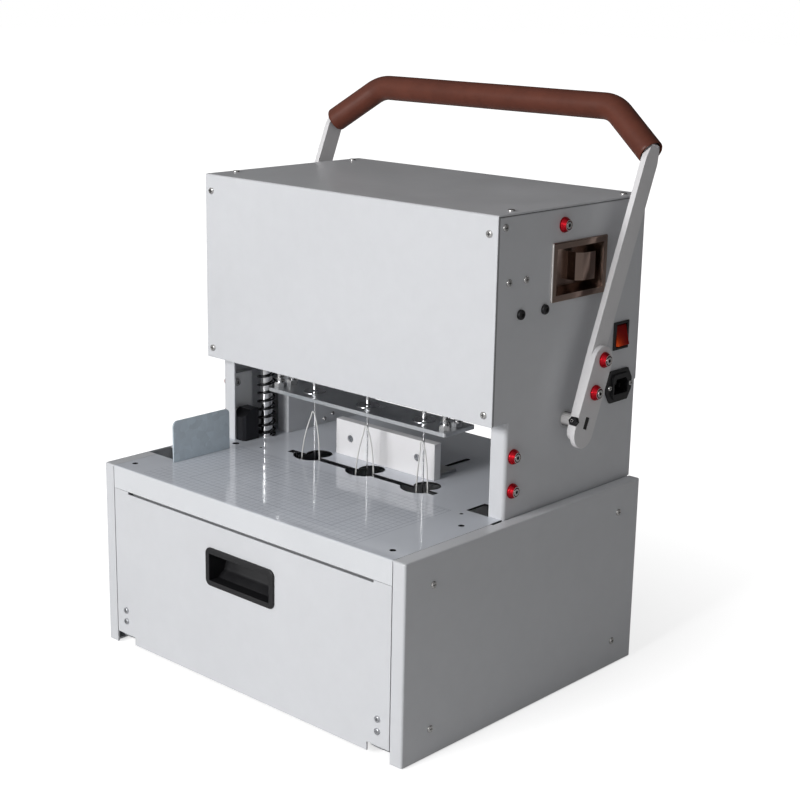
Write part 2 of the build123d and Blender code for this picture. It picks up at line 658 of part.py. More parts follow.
def cover_screws():
    parts = []
    for x in FRONT_SCREWS_X:
        for z in FRONT_SCREWS_Z:
            parts.append(on_front(countersunk_screw(2.0, 4), x, HOUSE_FRONT_Y, z))
    for x in (-TOP_SCREWS_X, TOP_SCREWS_X):
        for y in TOP_SCREWS_Y:
            parts.append(Pos(x, y, HOUSE_TOP_Z) * countersunk_screw(2.0, 4))
        for z in REAR_SCREWS_Z:
            parts.append(on_rear(countersunk_screw(2.0, 4.5), x, REAR_COVER_Y, z))
    return group(parts)


def rear_cover():
    body = block(-PLATE_X, PLATE_X, REAR_COVER_Y - SHEET, REAR_COVER_Y, REAR_COVER_BOTTOM_Z, HOUSE_TOP_Z)
    vents = []
    for row in range(4):
        for i in range(11):
            x = -100 + i * 20
            z = 350 + row * 22
            vents.append(block(x - 7, x + 7, REAR_COVER_Y - 4, REAR_COVER_Y + 1, z - 2, z + 2))
    body = body - merged(vents)
    for x in (-TOP_SCREWS_X, TOP_SCREWS_X):
        for z in REAR_SCREWS_Z:
            body = body - rod_y(2.1, REAR_COVER_Y - 4, REAR_COVER_Y + 1, x, z)
    return body


def recess_handle(side):
    # Pressed steel pocket: raised rim, sloped pan and a curved tongue to lift by
    y0, y1 = RECESS_Y
    z0, z1 = RECESS_Z
    cy, cz = (y0 + y1) / 2, (z0 + z1) / 2
    w, h = y1 - y0, z1 - z0
    face = Plane(origin=(PLATE_X, cy, cz), x_dir=(0, 1, 0), z_dir=(1, 0, 0))
    rim = extrude(RectangleRounded(w, h, 1.5), 2.0)
    rim = fillet(rim.edges().group_by(Axis.Z)[-1], 1.2)
    pan = extrude(Rectangle(w - 8, h - 8), -18, taper=12)
    mouth = Pos(0, 0, 2.5) * extrude(Rectangle(w - 13, h - 13), -19.1, taper=12)
    body = rim + pan - mouth
    arch = Polyline((3, -17), (5, -8), (11, -2.5), (20, -1.2), (29, -1.2), (29, -2.8), (20, -2.8),
                    (12, -4.1), (6.6, -9), (4.8, -17), close=True)
    tongue = Plane.XZ.offset(-14) * extrude(make_face(arch), 28)
    body = face * (body + tongue)
    if side < 0:
        body = mirror(body, about=Plane.YZ)
    return body


def rocker_housing():
    y0, y1 = ROCKER_Y
    z0, z1 = ROCKER_Z
    bezel = block(PLATE_X, PLATE_X + 2.0, y0, y1, z0, z1)
    bezel = fillet(bezel.edges().group_by(Axis.X)[-1], 1.0)
    case = block(PLATE_X - 24, PLATE_X, y0 + 2, y1 - 2, z0 + 1, z1 - 1)
    hole = block(PLATE_X - 15, PLATE_X + 3, y0 + 3.4, y1 - 3.4, z0 + 2.3, z1 - 2.3)
    pins = [block(PLATE_X - 32, PLATE_X - 24, y0 + 8, y0 + 14.3, z - 0.4, z + 0.4)
            for z in (z0 + 8, z0 + 15, z0 + 22)]
    cy = (y0 + y1) / 2
    cz = (z0 + z1) / 2
    stub = [rod_y(ROCKER_PIN_R, cy - 10.0, cy - 8.4, ROCKER_AXIS_X, cz),
            rod_y(ROCKER_PIN_R, cy + 8.4, cy + 10.0, ROCKER_AXIS_X, cz)]
    return merged([bezel + case - hole] + pins + stub)


def rocker():
    # Two flat wings that meet over the axle; the lower wing stands out
    cy = (ROCKER_Y[0] + ROCKER_Y[1]) / 2
    cz = (ROCKER_Z[0] + ROCKER_Z[1]) / 2
    half = (ROCKER_Z[1] - ROCKER_Z[0]) / 2 - 4.55
    profile = [(-7, 1.2 - half), (0, -half - 0.8), (6.5, -half), (3.6, 0), (1.2, half), (0, half + 0.8),
               (-7, half - 1.2)]
    face = make_face(Polyline(*profile, close=True))
    body = Plane.XZ * extrude(face, 18.2)
    body = Pos(ROCKER_AXIS_X, cy + 9.1, cz) * body
    body = fillet(edges_at(body, Axis.Y, x=ROCKER_AXIS_X + 6.5), 0.8)
    return body - rod_y(ROCKER_PIN_R + RUNNING, cy - 12, cy + 12, ROCKER_AXIS_X, cz)


def power_inlet():
    y0, y1 = INLET_Y
    z0, z1 = INLET_Z
    cy, cz = (y0 + y1) / 2, (z0 + z1) / 2
    x = PLATE_X
    outline = [(cy - 22, cz - 6), (cy - 15, z0), (cy + 15, z0), (cy + 22, cz - 6), (cy + 22, cz + 6),
               (cy + 15, z1), (cy - 15, z1), (cy - 22, cz + 6)]
    flange = prism_x(outline, x, x + 3.0)
    flange = fillet(flange.edges().group_by(Axis.X)[-1], 0.8)
    raised = block(x, x + 5.0, cy - 14.5, cy + 14.5, cz - 13.0, cz + 13.0)
    raised = chamfer(raised.edges().filter_by(Axis.X), 3.0)
    case = block(x - 22, x, cy - 14.3, cy + 14.3, cz - 13.2, cz + 13.2)
    mouth = [(cy - 12.2, cz - 8.2), (cy + 12.2, cz - 8.2), (cy + 12.2, cz + 3.6), (cy + 8.0, cz + 8.2),
             (cy - 8.0, cz + 8.2), (cy - 12.2, cz + 3.6)]
    hole = prism_x(mouth, x - 16, x + 6)
    body = flange + raised + case - hole
    for y, z in ((cy - 7, cz - 2), (cy, cz + 2), (cy + 7, cz - 2)):
        body = body + block(x - 17, x - 2, y - 1, y + 1, z - 2, z + 2)
    for y in (cy - 18.3, cy + 18.3):
        body = body - rod_x(1.6, x - 1, x + 5, y, cz)
    return body


def side_fasteners():
    # Small screws of the plates: inlet ears, carry handle neighbours and the top front corner
    parts = []
    cy, cz = (INLET_Y[0] + INLET_Y[1]) / 2, (INLET_Z[0] + INLET_Z[1]) / 2
    for y in (cy - 18.3, cy + 18.3):
        parts.append(on_side(countersunk_screw(1.5, 3.0), 1, PLATE_X + 3.0, y, cz))
    for s in (-1, 1):
        for y, z in PLATE_SCREWS:
            parts.append(on_side(countersunk_screw(2.0, 3), s, PLATE_X, y, z))
    return group(parts)


def black_caps():
    parts = []
    for s in (-1, 1):
        for y in CAPS_Y:
            cap = Pos(0, 0, 1.7) * Cylinder(5.0, 3.4)
            cap = fillet(cap.edges().filter_by(GeomType.CIRCLE).group_by(Axis.Z)[-1], 1.8)
            cap = cap - Pos(0, 0, 2.2) * extrude(RegularPolygon(2.4, 6), 2)
            parts.append(on_side(cap, s, PLATE_X, y, CAPS_Z))
    return group(parts)


def frame_collars():
    parts = []
    for s in (-1, 1):
        for y, z in FRAME_COLLARS:
            parts.append(on_side(cup_washer(7.7, 2.6), s, PLATE_X, y, z))
    return group(parts)


def frame_collar_screws():
    parts = []
    for s in (-1, 1):
        for y, z in FRAME_COLLARS:
            parts.append(on_side(collar_screw(2.5, COLLAR_SEAT + 1.9, 3.8, 3.6), s, PLATE_X + COLLAR_SEAT, y, z))
    return group(parts)


def bridge_beam():
    # Crossbeam under the housing's top that holds the guide columns
    x = PLATE_X - PLATE_T
    z0, z1 = BEAM_Z
    beam = block(-x, x, COLUMN_Y - 14, COLUMN_Y + 14, z0, z1)
    for s in (-1, 1):
        a, b = sorted((s * (x - 10), s * x))
        beam = beam + block(a, b, COLUMN_Y - 14, COLUMN_Y + 51, z0, z1 + 4)
        beam = beam - rod_z(COLUMN_R, z0 - 3, z1 + 7, s * COLUMN_X, COLUMN_Y)
    return beam


def guide_column(side):
    return rod_z(COLUMN_R, TABLE_Z - 22, BEAM_Z[1], side * COLUMN_X, COLUMN_Y)


def column_socket(side):
    # Bored block under the table that a guide column stands on, tied to the frame plate
    a, b = sorted((side * (COLUMN_X - 14), side * (PLATE_X - PLATE_T)))
    body = block(a, b, COLUMN_Y - 10, COLUMN_Y + 16, TABLE_Z - 26, TABLE_Z - SHEET)
    return body - rod_z(COLUMN_R, TABLE_Z - 22, TABLE_Z, side * COLUMN_X, COLUMN_Y)


def foot_block():
    # Dark chamfered block in front of the left guide column
    front, top, right = COLUMN_FRONT_Y + 2.0, TABLE_Z + 36.0, 32.2 - PLATE_X
    body = block(right - 18.4, right, front, front + 22.0, TABLE_Z, top)
    body = chamfer(edges_at(body, Axis.X, y=front, z=top), 9)
    body = chamfer(edges_at(body, Axis.Z, x=right, y=front), 3)
    return body


def column_bracket():
    # Light bracket on the left frame plate with two socket screws
    left, right = PLATE_T - PLATE_X, BRACKET_FACE_X
    low, high = BRACKET_SCREWS_Z
    body = block(left, right, COLUMN_FRONT_Y + 4, COLUMN_FRONT_Y + 37, low - 10.5, high + 9.5)
    body = fillet(edges_at(body, Axis.Z, x=right), 3)
    for z in BRACKET_SCREWS_Z:
        body = body - rod_x(2.5, left + 0.7, right + 1, BRACKET_SCREWS_Y, z)
    return body


def column_bracket_screws():
    parts = []
    for z in BRACKET_SCREWS_Z:
        screw = socket_screw(2.5, 6.5, 4.0)
        parts.append(Pos(BRACKET_FACE_X, BRACKET_SCREWS_Y, z) * Rot(0, 90, 0) * screw)
    return group(parts)


def shaft_bearings():
    # Flanged bushes in the frame plates that carry the pivot shaft
    parts = []
    for s in (-1, 1):
        flange = on_side(Pos(0, 0, -PLATE_T - 0.6) * Cylinder(BEARING_R + 1.5, 1.2), s, PLATE_X, PIVOT_Y,
                         PIVOT_Z)
        body = on_side(Pos(0, 0, -1.9) * Cylinder(BEARING_R, 3.8), s, PLATE_X, PIVOT_Y, PIVOT_Z)
        bush = flange + body
        a, b = sorted((s * (PLATE_X - 15), s * (PLATE_X + 25)))
        bush = bush - rod_x(SHAFT_R + RUNNING, a, b, PIVOT_Y, PIVOT_Z)
        parts.append(bush)
    return group(parts)


# Lever

def pivot_shaft():
    body = rod_x(SHAFT_R, -ARM_INNER_X, ARM_INNER_X, 0, 0)
    out = ARM_INNER_X + ARM_T + HUB_T - 0.6
    tang = Box(2 * out, TANG_L - 0.04, TANG_W - 0.04)
    return LEVER * (body + tang)


def lever_side(sketch, x0, thickness):
    # Extrudes a sketch drawn as (depth behind the front edge, height) into the lever plane along X
    local = Plane(origin=(x0, 0, 0), x_dir=(0, 0, -1), z_dir=(1, 0, 0))
    return LEVER * (local * extrude(sketch, thickness))


def arm_sketch():
    # Drawn with the sketch's x running to the rear and y up the lever
    half = ARM_W / 2
    centre = -ARM_OFFSET
    bar = make_face(Polyline(
        (centre - half + ARM_FOOT_TAPER, HUB_LOW_U), (centre - half, HUB_TOP_U),
        (centre - half, ARM_TOP_U - 16.0), (centre - 7.3, ARM_TOP_U),
        (centre + 7.3, ARM_TOP_U), (centre + half, ARM_TOP_U - 16.0), (centre + half, HUB_LOW_U), close=True))
    foot = Pos(centre + ARM_FOOT_TAPER / 2, HUB_LOW_U) * Circle(half - ARM_FOOT_TAPER / 2)
    hole = Rectangle(TANG_W, TANG_L)
    return bar + foot - hole


def hub_sketch():
    length = HUB_TOP_U - HUB_LOW_U
    slot = Pos(0, (HUB_TOP_U + HUB_LOW_U) / 2) * (
        Rectangle(HUB_W, length)
        + Pos(0, length / 2) * Circle(HUB_W / 2)
        + Pos(0, -length / 2) * Circle(HUB_W / 2)
    )
    return slot - Rectangle(TANG_W, TANG_L)


def arm(side):
    body = lever_side(arm_sketch(), ARM_INNER_X, ARM_T)
    if side < 0:
        body = mirror(body, about=Plane.YZ)
    return body


def hub(side):
    body = lever_side(hub_sketch(), ARM_INNER_X + ARM_T, HUB_T)
    outer = body.faces().sort_by(Axis.X)[-1]
    body = chamfer(outer.outer_wire().edges(), 0.5)
    body = body - LEVER * Pos(ARM_INNER_X + ARM_T + HUB_T / 2, -2, 12) * Cylinder(CLAMP_R + 0.02, 14)
    if side < 0:
        body = mirror(body, about=Plane.YZ)
    return body


HUB_SCREWS_U = (32.0, 66.0)


def hub_collars():
    parts = []
    for s in (-1, 1):
        x = ARM_INNER_X + ARM_T + HUB_T
        for u in HUB_SCREWS_U:
            parts.append(LEVER * Pos(s * x, u, 0) * Rot(0, 90 * s, 0) * cup_washer(8.0, 3.1))
    return group(parts)


def hub_screws():
    parts = []
    for s in (-1, 1):
        x = ARM_INNER_X + ARM_T + HUB_T + COLLAR_SEAT
        for u in HUB_SCREWS_U:
            parts.append(LEVER * Pos(s * x, u, 0) * Rot(0, 90 * s, 0) * collar_screw(3.0, COLLAR_SEAT, 4.0, 4.0))
    return group(parts)


def set_screws():
    # Clamp screw with a lock nut in the front edge of each hub plate
    parts = []
    for s in (-1, 1):
        x = s * (ARM_INNER_X + ARM_T + HUB_T / 2)
        base = HUB_W / 2
        nut = LEVER * Pos(x, -2, base) * extrude(RegularPolygon(5.0, 6), 4.8)
        stem = LEVER * Pos(x, -2, base - 0.2) * Cylinder(CLAMP_R, 13.2)
        socket = LEVER * Pos(x, -2, base + 5.1) * extrude(RegularPolygon(1.3, 6), 2)
        parts.append(nut + stem - socket)
    return group(parts)


def grip_path():
    return FilletPolyline(
        (-GRIP_END_X, GRIP_END_U), (-GRIP_BEND_X, GRIP_BEND_U), (GRIP_BEND_X, GRIP_BEND_U),
        (GRIP_END_X, GRIP_END_U), radius=GRIP_BEND_R,
    )


def bent_bar(r):
    path = grip_path()
    start = path.position_at(0)
    section = Plane(origin=start, z_dir=path.tangent_at(0)) * Circle(r)
    return sweep(section, path=path)


def grip_sleeve():
    bar = bent_bar(GRIP_R) - bent_bar(GRIP_BORE_R)
    return LEVER * Pos(0, 0, ARM_OFFSET) * bar


def grip_core():
    bar = bent_bar(CORE_R)
    depth = GRIP_BEND_U - GRIP_END_U + 4 * CORE_R
    cut = Pos(0, ARM_TOP_U - depth / 2, 0) * Box(3 * GRIP_END_X, depth, 6 * CORE_R)
    return LEVER * Pos(0, 0, ARM_OFFSET) * (bar - cut)


# Rack and pinion

def involute_flank(base_r, r0, r1, steps):
    points = []
    for i in range(steps + 1):
        r = r0 + (r1 - r0) * i / steps
        roll = sqrt(max(r * r / (base_r * base_r) - 1.0, 0.0))
        points.append((r, roll - atan2(roll, 1.0)))
    return points


def pinion_teeth(first, last):
    # Involute teeth of a sector, each a small polygon on the root circle
    pressure = radians(20)
    base_r = PINION_R * cos(pressure)
    tip_r = PINION_R + MODULE
    root_r = PINION_R - 1.25 * MODULE
    pitch_angle = 2 * pi / PINION_TEETH
    half = pitch_angle / 4 - BACKLASH / (2 * PINION_R) + (tan(pressure) - pressure)
    flank = involute_flank(base_r, max(base_r, root_r), tip_r, 4)
    faces = []
    for k in range(first, last + 1):
        centre = pi + k * pitch_angle
        low = [((root_r - 1.0) * cos(centre - half), (root_r - 1.0) * sin(centre - half))]
        left = [(r * cos(centre - half + a), r * sin(centre - half + a)) for r, a in flank]
        right = [(r * cos(centre + half - a), r * sin(centre + half - a)) for r, a in reversed(flank)]
        high = [((root_r - 1.0) * cos(centre + half), (root_r - 1.0) * sin(centre + half))]
        faces.append(make_face(Polyline(*(low + left + right + high), close=True)))
    return faces


def sector_pinion(side):
    # Toothed sector keyed on the pivot shaft; its teeth face forward and upward as it starts
    root_r = PINION_R - 1.25 * MODULE
    sketch = Circle(17)
    count = ceil(LEVER_RANGE / (2 * pi / PINION_TEETH)) + 2
    first, last = -count + 1, 1
    pitch_angle = 360.0 / PINION_TEETH
    a0 = 180 + (first - 0.5) * pitch_angle
    a1 = 180 + (last + 0.5) * pitch_angle
    points = [(0, 0)]
    steps = 24
    for i in range(steps + 1):
        a = radians(a0 + (a1 - a0) * i / steps)
        points.append((root_r * cos(a), root_r * sin(a)))
    sketch = sketch + make_face(Polyline(*points, close=True))
    for tooth in pinion_teeth(first, last):
        sketch = sketch + tooth
    sketch = sketch - Circle(SHAFT_R)
    body = extrude(sketch, RACK_X[1] - RACK_X[0])
    body = Pos(RACK_X[0], PIVOT_Y, PIVOT_Z) * (Plane.YZ * body)
    if side < 0:
        body = mirror(body, about=Plane.YZ)
    return body


def rack(side):
    # Straight rack in front of the sector, hung from the drill head
    pressure = radians(20)
    line_y = PIVOT_Y - PINION_R
    root_y = line_y - 1.25 * MODULE
    tip_y = line_y + MODULE
    pitch = pi * MODULE
    half = pitch / 4 - BACKLASH / 2
    z0 = 286.0
    z1 = HEAD_Z[0]
    body = block(RACK_X[0], RACK_X[1], root_y - 8, root_y, z0, z1)
    k = -1
    while True:
        centre = PIVOT_Z + (k + 0.5) * pitch
        k += 1
        if centre + half + 2 > PIVOT_Z + STROKE + 14:
            break
        if centre - half - 2 < z0:
            continue
        wide = half + (line_y - root_y) * tan(pressure)
        slim = half - (tip_y - line_y) * tan(pressure)
        tooth = prism_x([(root_y - 0.5, centre - wide), (root_y, centre - wide), (tip_y, centre - slim),
                         (tip_y, centre + slim), (root_y, centre + wide), (root_y - 0.5, centre + wide)],
                        RACK_X[0], RACK_X[1])
        body = body + tooth
    if side < 0:
        body = mirror(body, about=Plane.YZ)
    return body


# Drill head

def head_plate():
    z0, z1 = HEAD_Z
    wide = PLATE_X - 5.2
    main = block(-wide, wide, HOLE_Y - 32, HOLE_Y + 36, z0, z1)
    tail = block(-45, 45, HOLE_Y + 35, MOTOR_XY[1] + 34, z0, z1)
    body = main + tail
    for s in (-1, 1):
        body = body - rod_z(12, z0 - 1, z1 + 1, s * COLUMN_X, COLUMN_Y)
        for y in POSTS_Y:
            body = body - rod_z(POST_R + 0.1, z0 - 1, z1 + 1, s * POST_X, y)
    for x in HOLES_X:
        body = body - rod_z(SPINDLE_R + 0.6, z0 - 1, z1 + 1, x, HOLE_Y)
    body = body - rod_z(5, z0 - 1, z1 + 1, *MOTOR_XY)
    return body


def column_bushes():
    parts = []
    for s in (-1, 1):
        bush = rod_z(12, HEAD_Z[0] - 6, HEAD_Z[1] + 12, s * COLUMN_X, COLUMN_Y)
        bush = bush - rod_z(COLUMN_R + RUNNING, HEAD_Z[0] - 9, HEAD_Z[1] + 15, s * COLUMN_X, COLUMN_Y)
        parts.append(bush)
    return group(parts)


def bearing_housings():
    parts = []
    for x in HOLES_X:
        cup = rod_z(17, HEAD_Z[1], HEAD_Z[1] + 34, x, HOLE_Y)
        cup = fillet(cup.edges().filter_by(GeomType.CIRCLE).group_by(Axis.Z)[-1], 2)
        cup = cup - rod_z(SPINDLE_R + RUNNING, HEAD_Z[1] - 3, HEAD_Z[1] + 37, x, HOLE_Y)
        parts.append(cup)
    return group(parts)


def spindle(x):
    shaft = rod_z(SPINDLE_R, SPINDLE_FOOT_Z, HEAD_Z[1] + 40, x, HOLE_Y)
    chuck = rod_z(10, CHUCK_Z[0], CHUCK_Z[1], x, HOLE_Y)
    chuck = chamfer(chuck.edges().filter_by(GeomType.CIRCLE).group_by(Axis.Z)[0], 3)
    cap = rod_z(8, HEAD_Z[1] + 34.4, HEAD_Z[1] + 40, x, HOLE_Y)
    body = shaft + chuck + cap
    body = body - rod_z(DRILL_R, CHUCK_Z[0] - 6, DRILL_TOP_Z, x, HOLE_Y)
    return body - rod_z(DRILL_BORE_R, DRILL_TOP_Z - 6, HEAD_Z[1] + 50, x, HOLE_Y)


def pulley(r, bore, x, y):
    body = rod_z(r, BELT_Z[0], BELT_Z[1], x, y)
    low = rod_z(r + 2, BELT_Z[0] - 1.5, BELT_Z[0] - 0.3, x, y)
    high = rod_z(r + 2, BELT_Z[1] + 0.3, BELT_Z[1] + 1.5, x, y)
    neck = rod_z(r, BELT_Z[0] - 1, BELT_Z[1] + 1, x, y)
    return body + neck + low + high - rod_z(bore, BELT_Z[0] - 5, BELT_Z[1] + 5, x, y)


def hollow_drill(x):
    body = rod_z(DRILL_R, DRILL_TIP_Z, DRILL_TOP_Z, x, HOLE_Y)
    body = chamfer(body.edges().filter_by(GeomType.CIRCLE).group_by(Axis.Z)[0], 0.5)
    return body - rod_z(DRILL_BORE_R, DRILL_TIP_Z - 1, DRILL_TOP_Z + 1, x, HOLE_Y)


def tangent_points(a, b):
    # Where the belt leaves wheel a and meets wheel b; sign +1 is left of the belt, -1 right of it
    ax, ay, ar, asign = a
    bx, by, br, bsign = b
    dx, dy = bx - ax, by - ay
    length = hypot(dx, dy)
    base = atan2(dy, dx)
    offset = asin((asign * ar - bsign * br) / length)
    heading = base + offset
    nx, ny = sin(heading), -cos(heading)
    return ((ax + nx * ar * asign, ay + ny * ar * asign), (bx + nx * br * bsign, by + ny * br * bsign))


def belt():
    # Flat belt round the three spindle pulleys, the motor pulley and two idlers
    half = 0.8
    inner = 0.1 + half
    wheels = [
        (HOLES_X[0], HOLE_Y, PULLEY_R + inner, 1),
        (IDLERS_X[0], IDLER_Y, IDLER_R + inner, -1),
        (HOLES_X[1], HOLE_Y, PULLEY_R + inner, 1),
        (IDLERS_X[1], IDLER_Y, IDLER_R + inner, -1),
        (HOLES_X[2], HOLE_Y, PULLEY_R + inner, 1),
        (MOTOR_XY[0], MOTOR_XY[1], MOTOR_PULLEY_R + inner, 1),
    ]
    count = len(wheels)
    spans = [tangent_points(wheels[i], wheels[(i + 1) % count]) for i in range(count)]
    edges = []
    for i in range(count):
        start, end = spans[i]
        edges.append(Line(start, end))
        wheel = wheels[(i + 1) % count]
        leave = spans[(i + 1) % count][0]
        a0 = atan2(end[1] - wheel[1], end[0] - wheel[0])
        a1 = atan2(leave[1] - wheel[1], leave[0] - wheel[0])
        turn = (a1 - a0) * wheel[3]
        while turn < 0:
            turn += 2 * pi
        am = a0 + wheel[3] * turn / 2
        middle = (wheel[0] + wheel[2] * cos(am), wheel[1] + wheel[2] * sin(am))
        edges.append(ThreePointArc(end, middle, leave))
    loop = Wire(edges)
    ring = make_face(loop.offset_2d(half)) - make_face(loop.offset_2d(-half))
    return Pos(0, 0, BELT_Z[0] + 0.5) * extrude(ring, BELT_Z[1] - BELT_Z[0] - 1)


def idler_rollers():
    parts = []
    for x in IDLERS_X:
        roller = rod_z(IDLER_R, BELT_Z[0], BELT_Z[1], x, IDLER_Y)
        parts.append(roller - rod_z(3.0 + RUNNING, BELT_Z[0] - 5, BELT_Z[1] + 5, x, IDLER_Y))
    return group(parts)


def idler_pins():
    parts = []
    for x in IDLERS_X:
        pin = rod_z(3.0, BELT_Z[0] - 1, HEAD_Z[0], x, IDLER_Y)
        head = rod_z(5.0, BELT_Z[0] - 2.6, BELT_Z[0] - 0.6, x, IDLER_Y)
        parts.append(pin + head)
    return group(parts)


def motor_body():
    x, y = MOTOR_XY
    can = rod_z(29, HEAD_Z[1], HEAD_Z[1] + 84, x, y)
    can = fillet(can.edges().filter_by(GeomType.CIRCLE).group_by(Axis.Z)[-1], 4)
    for i in range(12):
        slot = Rot(0, 0, i * 30) * Pos(29, 0, 0) * Box(3, 2.4, 40)
        can = can - Pos(x, y, HEAD_Z[1] + 40) * slot
    return can - rod_z(4 + RUNNING, HEAD_Z[1] - 1, HEAD_Z[1] + 30, x, y)


def motor_rotor():
    x, y = MOTOR_XY
    shaft = rod_z(4, BELT_Z[0] - 1.5, HEAD_Z[1] + 30, x, y)
    return shaft + pulley(MOTOR_PULLEY_R, 4, x, y)


# Press plate

def press_plate():
    z0, z1 = PRESS_Z
    body = block(-PRESS_X, PRESS_X, PRESS_Y[0], PRESS_Y[1], z0, z1)
    body = fillet(body.edges().filter_by(Axis.Z), 3)
    for x in HOLES_X:
        body = body - rod_z(9.0, z0 - 1, z1 + 1, x, HOLE_Y)
    return body


def press_bushes():
    parts = []
    for x in HOLES_X:
        ring = rod_z(9.0, PRESS_Z[0], PRESS_Z[1], x, HOLE_Y)
        rim = rod_z(12.5, PRESS_Z[1], PRESS_Z[1] + 1.2, x, HOLE_Y)
        rim = chamfer(rim.edges().filter_by(GeomType.CIRCLE).group_by(Axis.Z)[-1], 0.8)
        parts.append(ring + rim - rod_z(3.4, PRESS_Z[0] - 1, PRESS_Z[1] + 3, x, HOLE_Y))
    return group(parts)


def press_posts():
    # Shouldered posts on the press plate that slide through the drill head
    parts = []
    for s in (-1, 1):
        for y in POSTS_Y:
            x = s * POST_X
            post = rod_z(POST_R, PRESS_Z[1], HEAD_Z[1] + 8, x, y)
            nut = Pos(x, y, PRESS_Z[1]) * extrude(RegularPolygon(6.2, 6), 5)
            seat = rod_z(5.6, PRESS_Z[1] + 5, PRESS_Z[1] + 6.4, x, y)
            stop = Pos(x, y, HEAD_Z[1] + 0.3) * extrude(RegularPolygon(5.5, 6), 4.5)
            parts.append(merged([post, nut, seat, stop]))
    return group(parts)


def post_spring(side, y):
    z0 = PRESS_Z[1] + 6.4 + 0.3
    z1 = HEAD_Z[0] - 0.3
    return spring(POST_SPRING, POST_SPRING_TURNS, z0, z1, side * POST_X, y)


def column_spring(side):
    z0 = TABLE_Z + 0.3
    z1 = HEAD_Z[0] - 6 - 0.3
    return spring(COLUMN_SPRING, COLUMN_SPRING_TURNS, z0, z1, side * COLUMN_X, COLUMN_Y)


# Needles, threads and spools

def needle_bar():
    z0, z1 = NEEDLE_BAR_Z
    wide = NEEDLE_BAR_GUIDE_X + 8
    body = block(-wide, wide, HOLE_Y - 7, HOLE_Y + 7, z0, z1)
    body = chamfer(body.edges().filter_by(Axis.X), 1)
    for s in (-1, 1):
        body = body - rod_z(4 + RUNNING, z0 - 1, z1 + 1, s * NEEDLE_BAR_GUIDE_X, HOLE_Y)
    for x in HOLES_X:
        body = body - rod_z(NEEDLE_R + 0.02, z0 + 3, z1 + 1, x, HOLE_Y)
    return body


def needles():
    parts = []
    for x in HOLES_X:
        shank = rod_z(NEEDLE_R, NEEDLE_BAR_Z[0] + 3, NEEDLE_TIP_Z - 4, x, HOLE_Y)
        tip = Pos(x, HOLE_Y, NEEDLE_TIP_Z - 2) * Cone(NEEDLE_R, 0.3, 4)
        beak = prism_x([(-0.8, HOOK_Z), (0.8, HOOK_Z), (1.5, HOOK_Z + 2.2), (0.9, HOOK_Z + 6.5),
                        (-0.8, HOOK_Z + 8.0)], -0.7, 0.7)
        parts.append(merged([shank, tip, Pos(x, HOLE_Y, 0) * beak]))
    return group(parts)


def needle_guides():
    parts = []
    for s in (-1, 1):
        x = s * NEEDLE_BAR_GUIDE_X
        rod = rod_z(4, FLOOR_Z + SHEET, TABLE_Z - SHEET, x, HOLE_Y)
        foot = rod_z(9, FLOOR_Z + SHEET, FLOOR_Z + SHEET + 8, x, HOLE_Y)
        parts.append(rod + foot)
    return group(parts)


THREAD_LEGS = (
    # x of the left leg, its y, x of the right leg, its y, where they cross the table, from the needle
    (-16.0, -5.0, 9.0, -1.0),
    (-12.0, -6.0, 10.0, 0.0),
    (-11.0, 2.0, 9.0, -2.0),
)


def thread_guide_bar():
    z0, z1 = GUIDE_BAR_Z
    wide = NEEDLE_BAR_GUIDE_X + 15
    body = block(-wide, wide, HOLE_Y - 16, HOLE_Y + 16, z0, z1)
    body = fillet(body.edges().filter_by(Axis.Z), 3)
    for s in (-1, 1):
        body = body - rod_z(4, z0 - 1, z1 + 1, s * NEEDLE_BAR_GUIDE_X, HOLE_Y)
    for x, legs in zip(HOLES_X, THREAD_LEGS):
        body = body - rod_z(2.5, z0 - 1, z1 + 1, x, HOLE_Y)
        body = body - rod_z(2.5, z0 - 1, z1 + 1, x + legs[0], HOLE_Y + legs[1])
        body = body - rod_z(2.5, z0 - 1, z1 + 1, x + legs[2], HOLE_Y + legs[3])
    return body


def guide_bar_posts():
    parts = []
    for s in (-1, 1):
        for y in (HOLE_Y - 11, HOLE_Y + 11):
            parts.append(rod_z(3, GUIDE_BAR_Z[1], TABLE_Z - SHEET, s * (NEEDLE_BAR_GUIDE_X + 11), y))
    return group(parts)


def spool_stand():
    rod = rod_x(4, -126, 126, SPOOL_Y, SPOOL_Z)
    legs = []
    for s in (-1, 1):
        a, b = sorted((s * 118, s * 122))
        leg = block(a, b, SPOOL_Y - 12, SPOOL_Y + 12, FLOOR_Z + SHEET, SPOOL_Z + 10)
        a, b = sorted((s * 118, s * 140))
        foot = block(a, b, SPOOL_Y - 12, SPOOL_Y + 12, FLOOR_Z + SHEET, FLOOR_Z + SHEET + 3)
        legs.append(leg + foot)
    return merged([rod] + legs)


def spool(x):
    core = rod_x(9, x - 22, x + 22, SPOOL_Y, SPOOL_Z)
    flanges = rod_x(SPOOL_R, x - 24, x - 22, SPOOL_Y, SPOOL_Z)
    flanges = flanges + rod_x(SPOOL_R, x + 22, x + 24, SPOOL_Y, SPOOL_Z)
    return core + flanges - rod_x(4 + RUNNING, x - 30, x + 30, SPOOL_Y, SPOOL_Z)


def thread_winding(x):
    return rod_x(21, x - 21.7, x + 21.7, SPOOL_Y, SPOOL_Z) - rod_x(9.3, x - 30, x + 30, SPOOL_Y, SPOOL_Z)


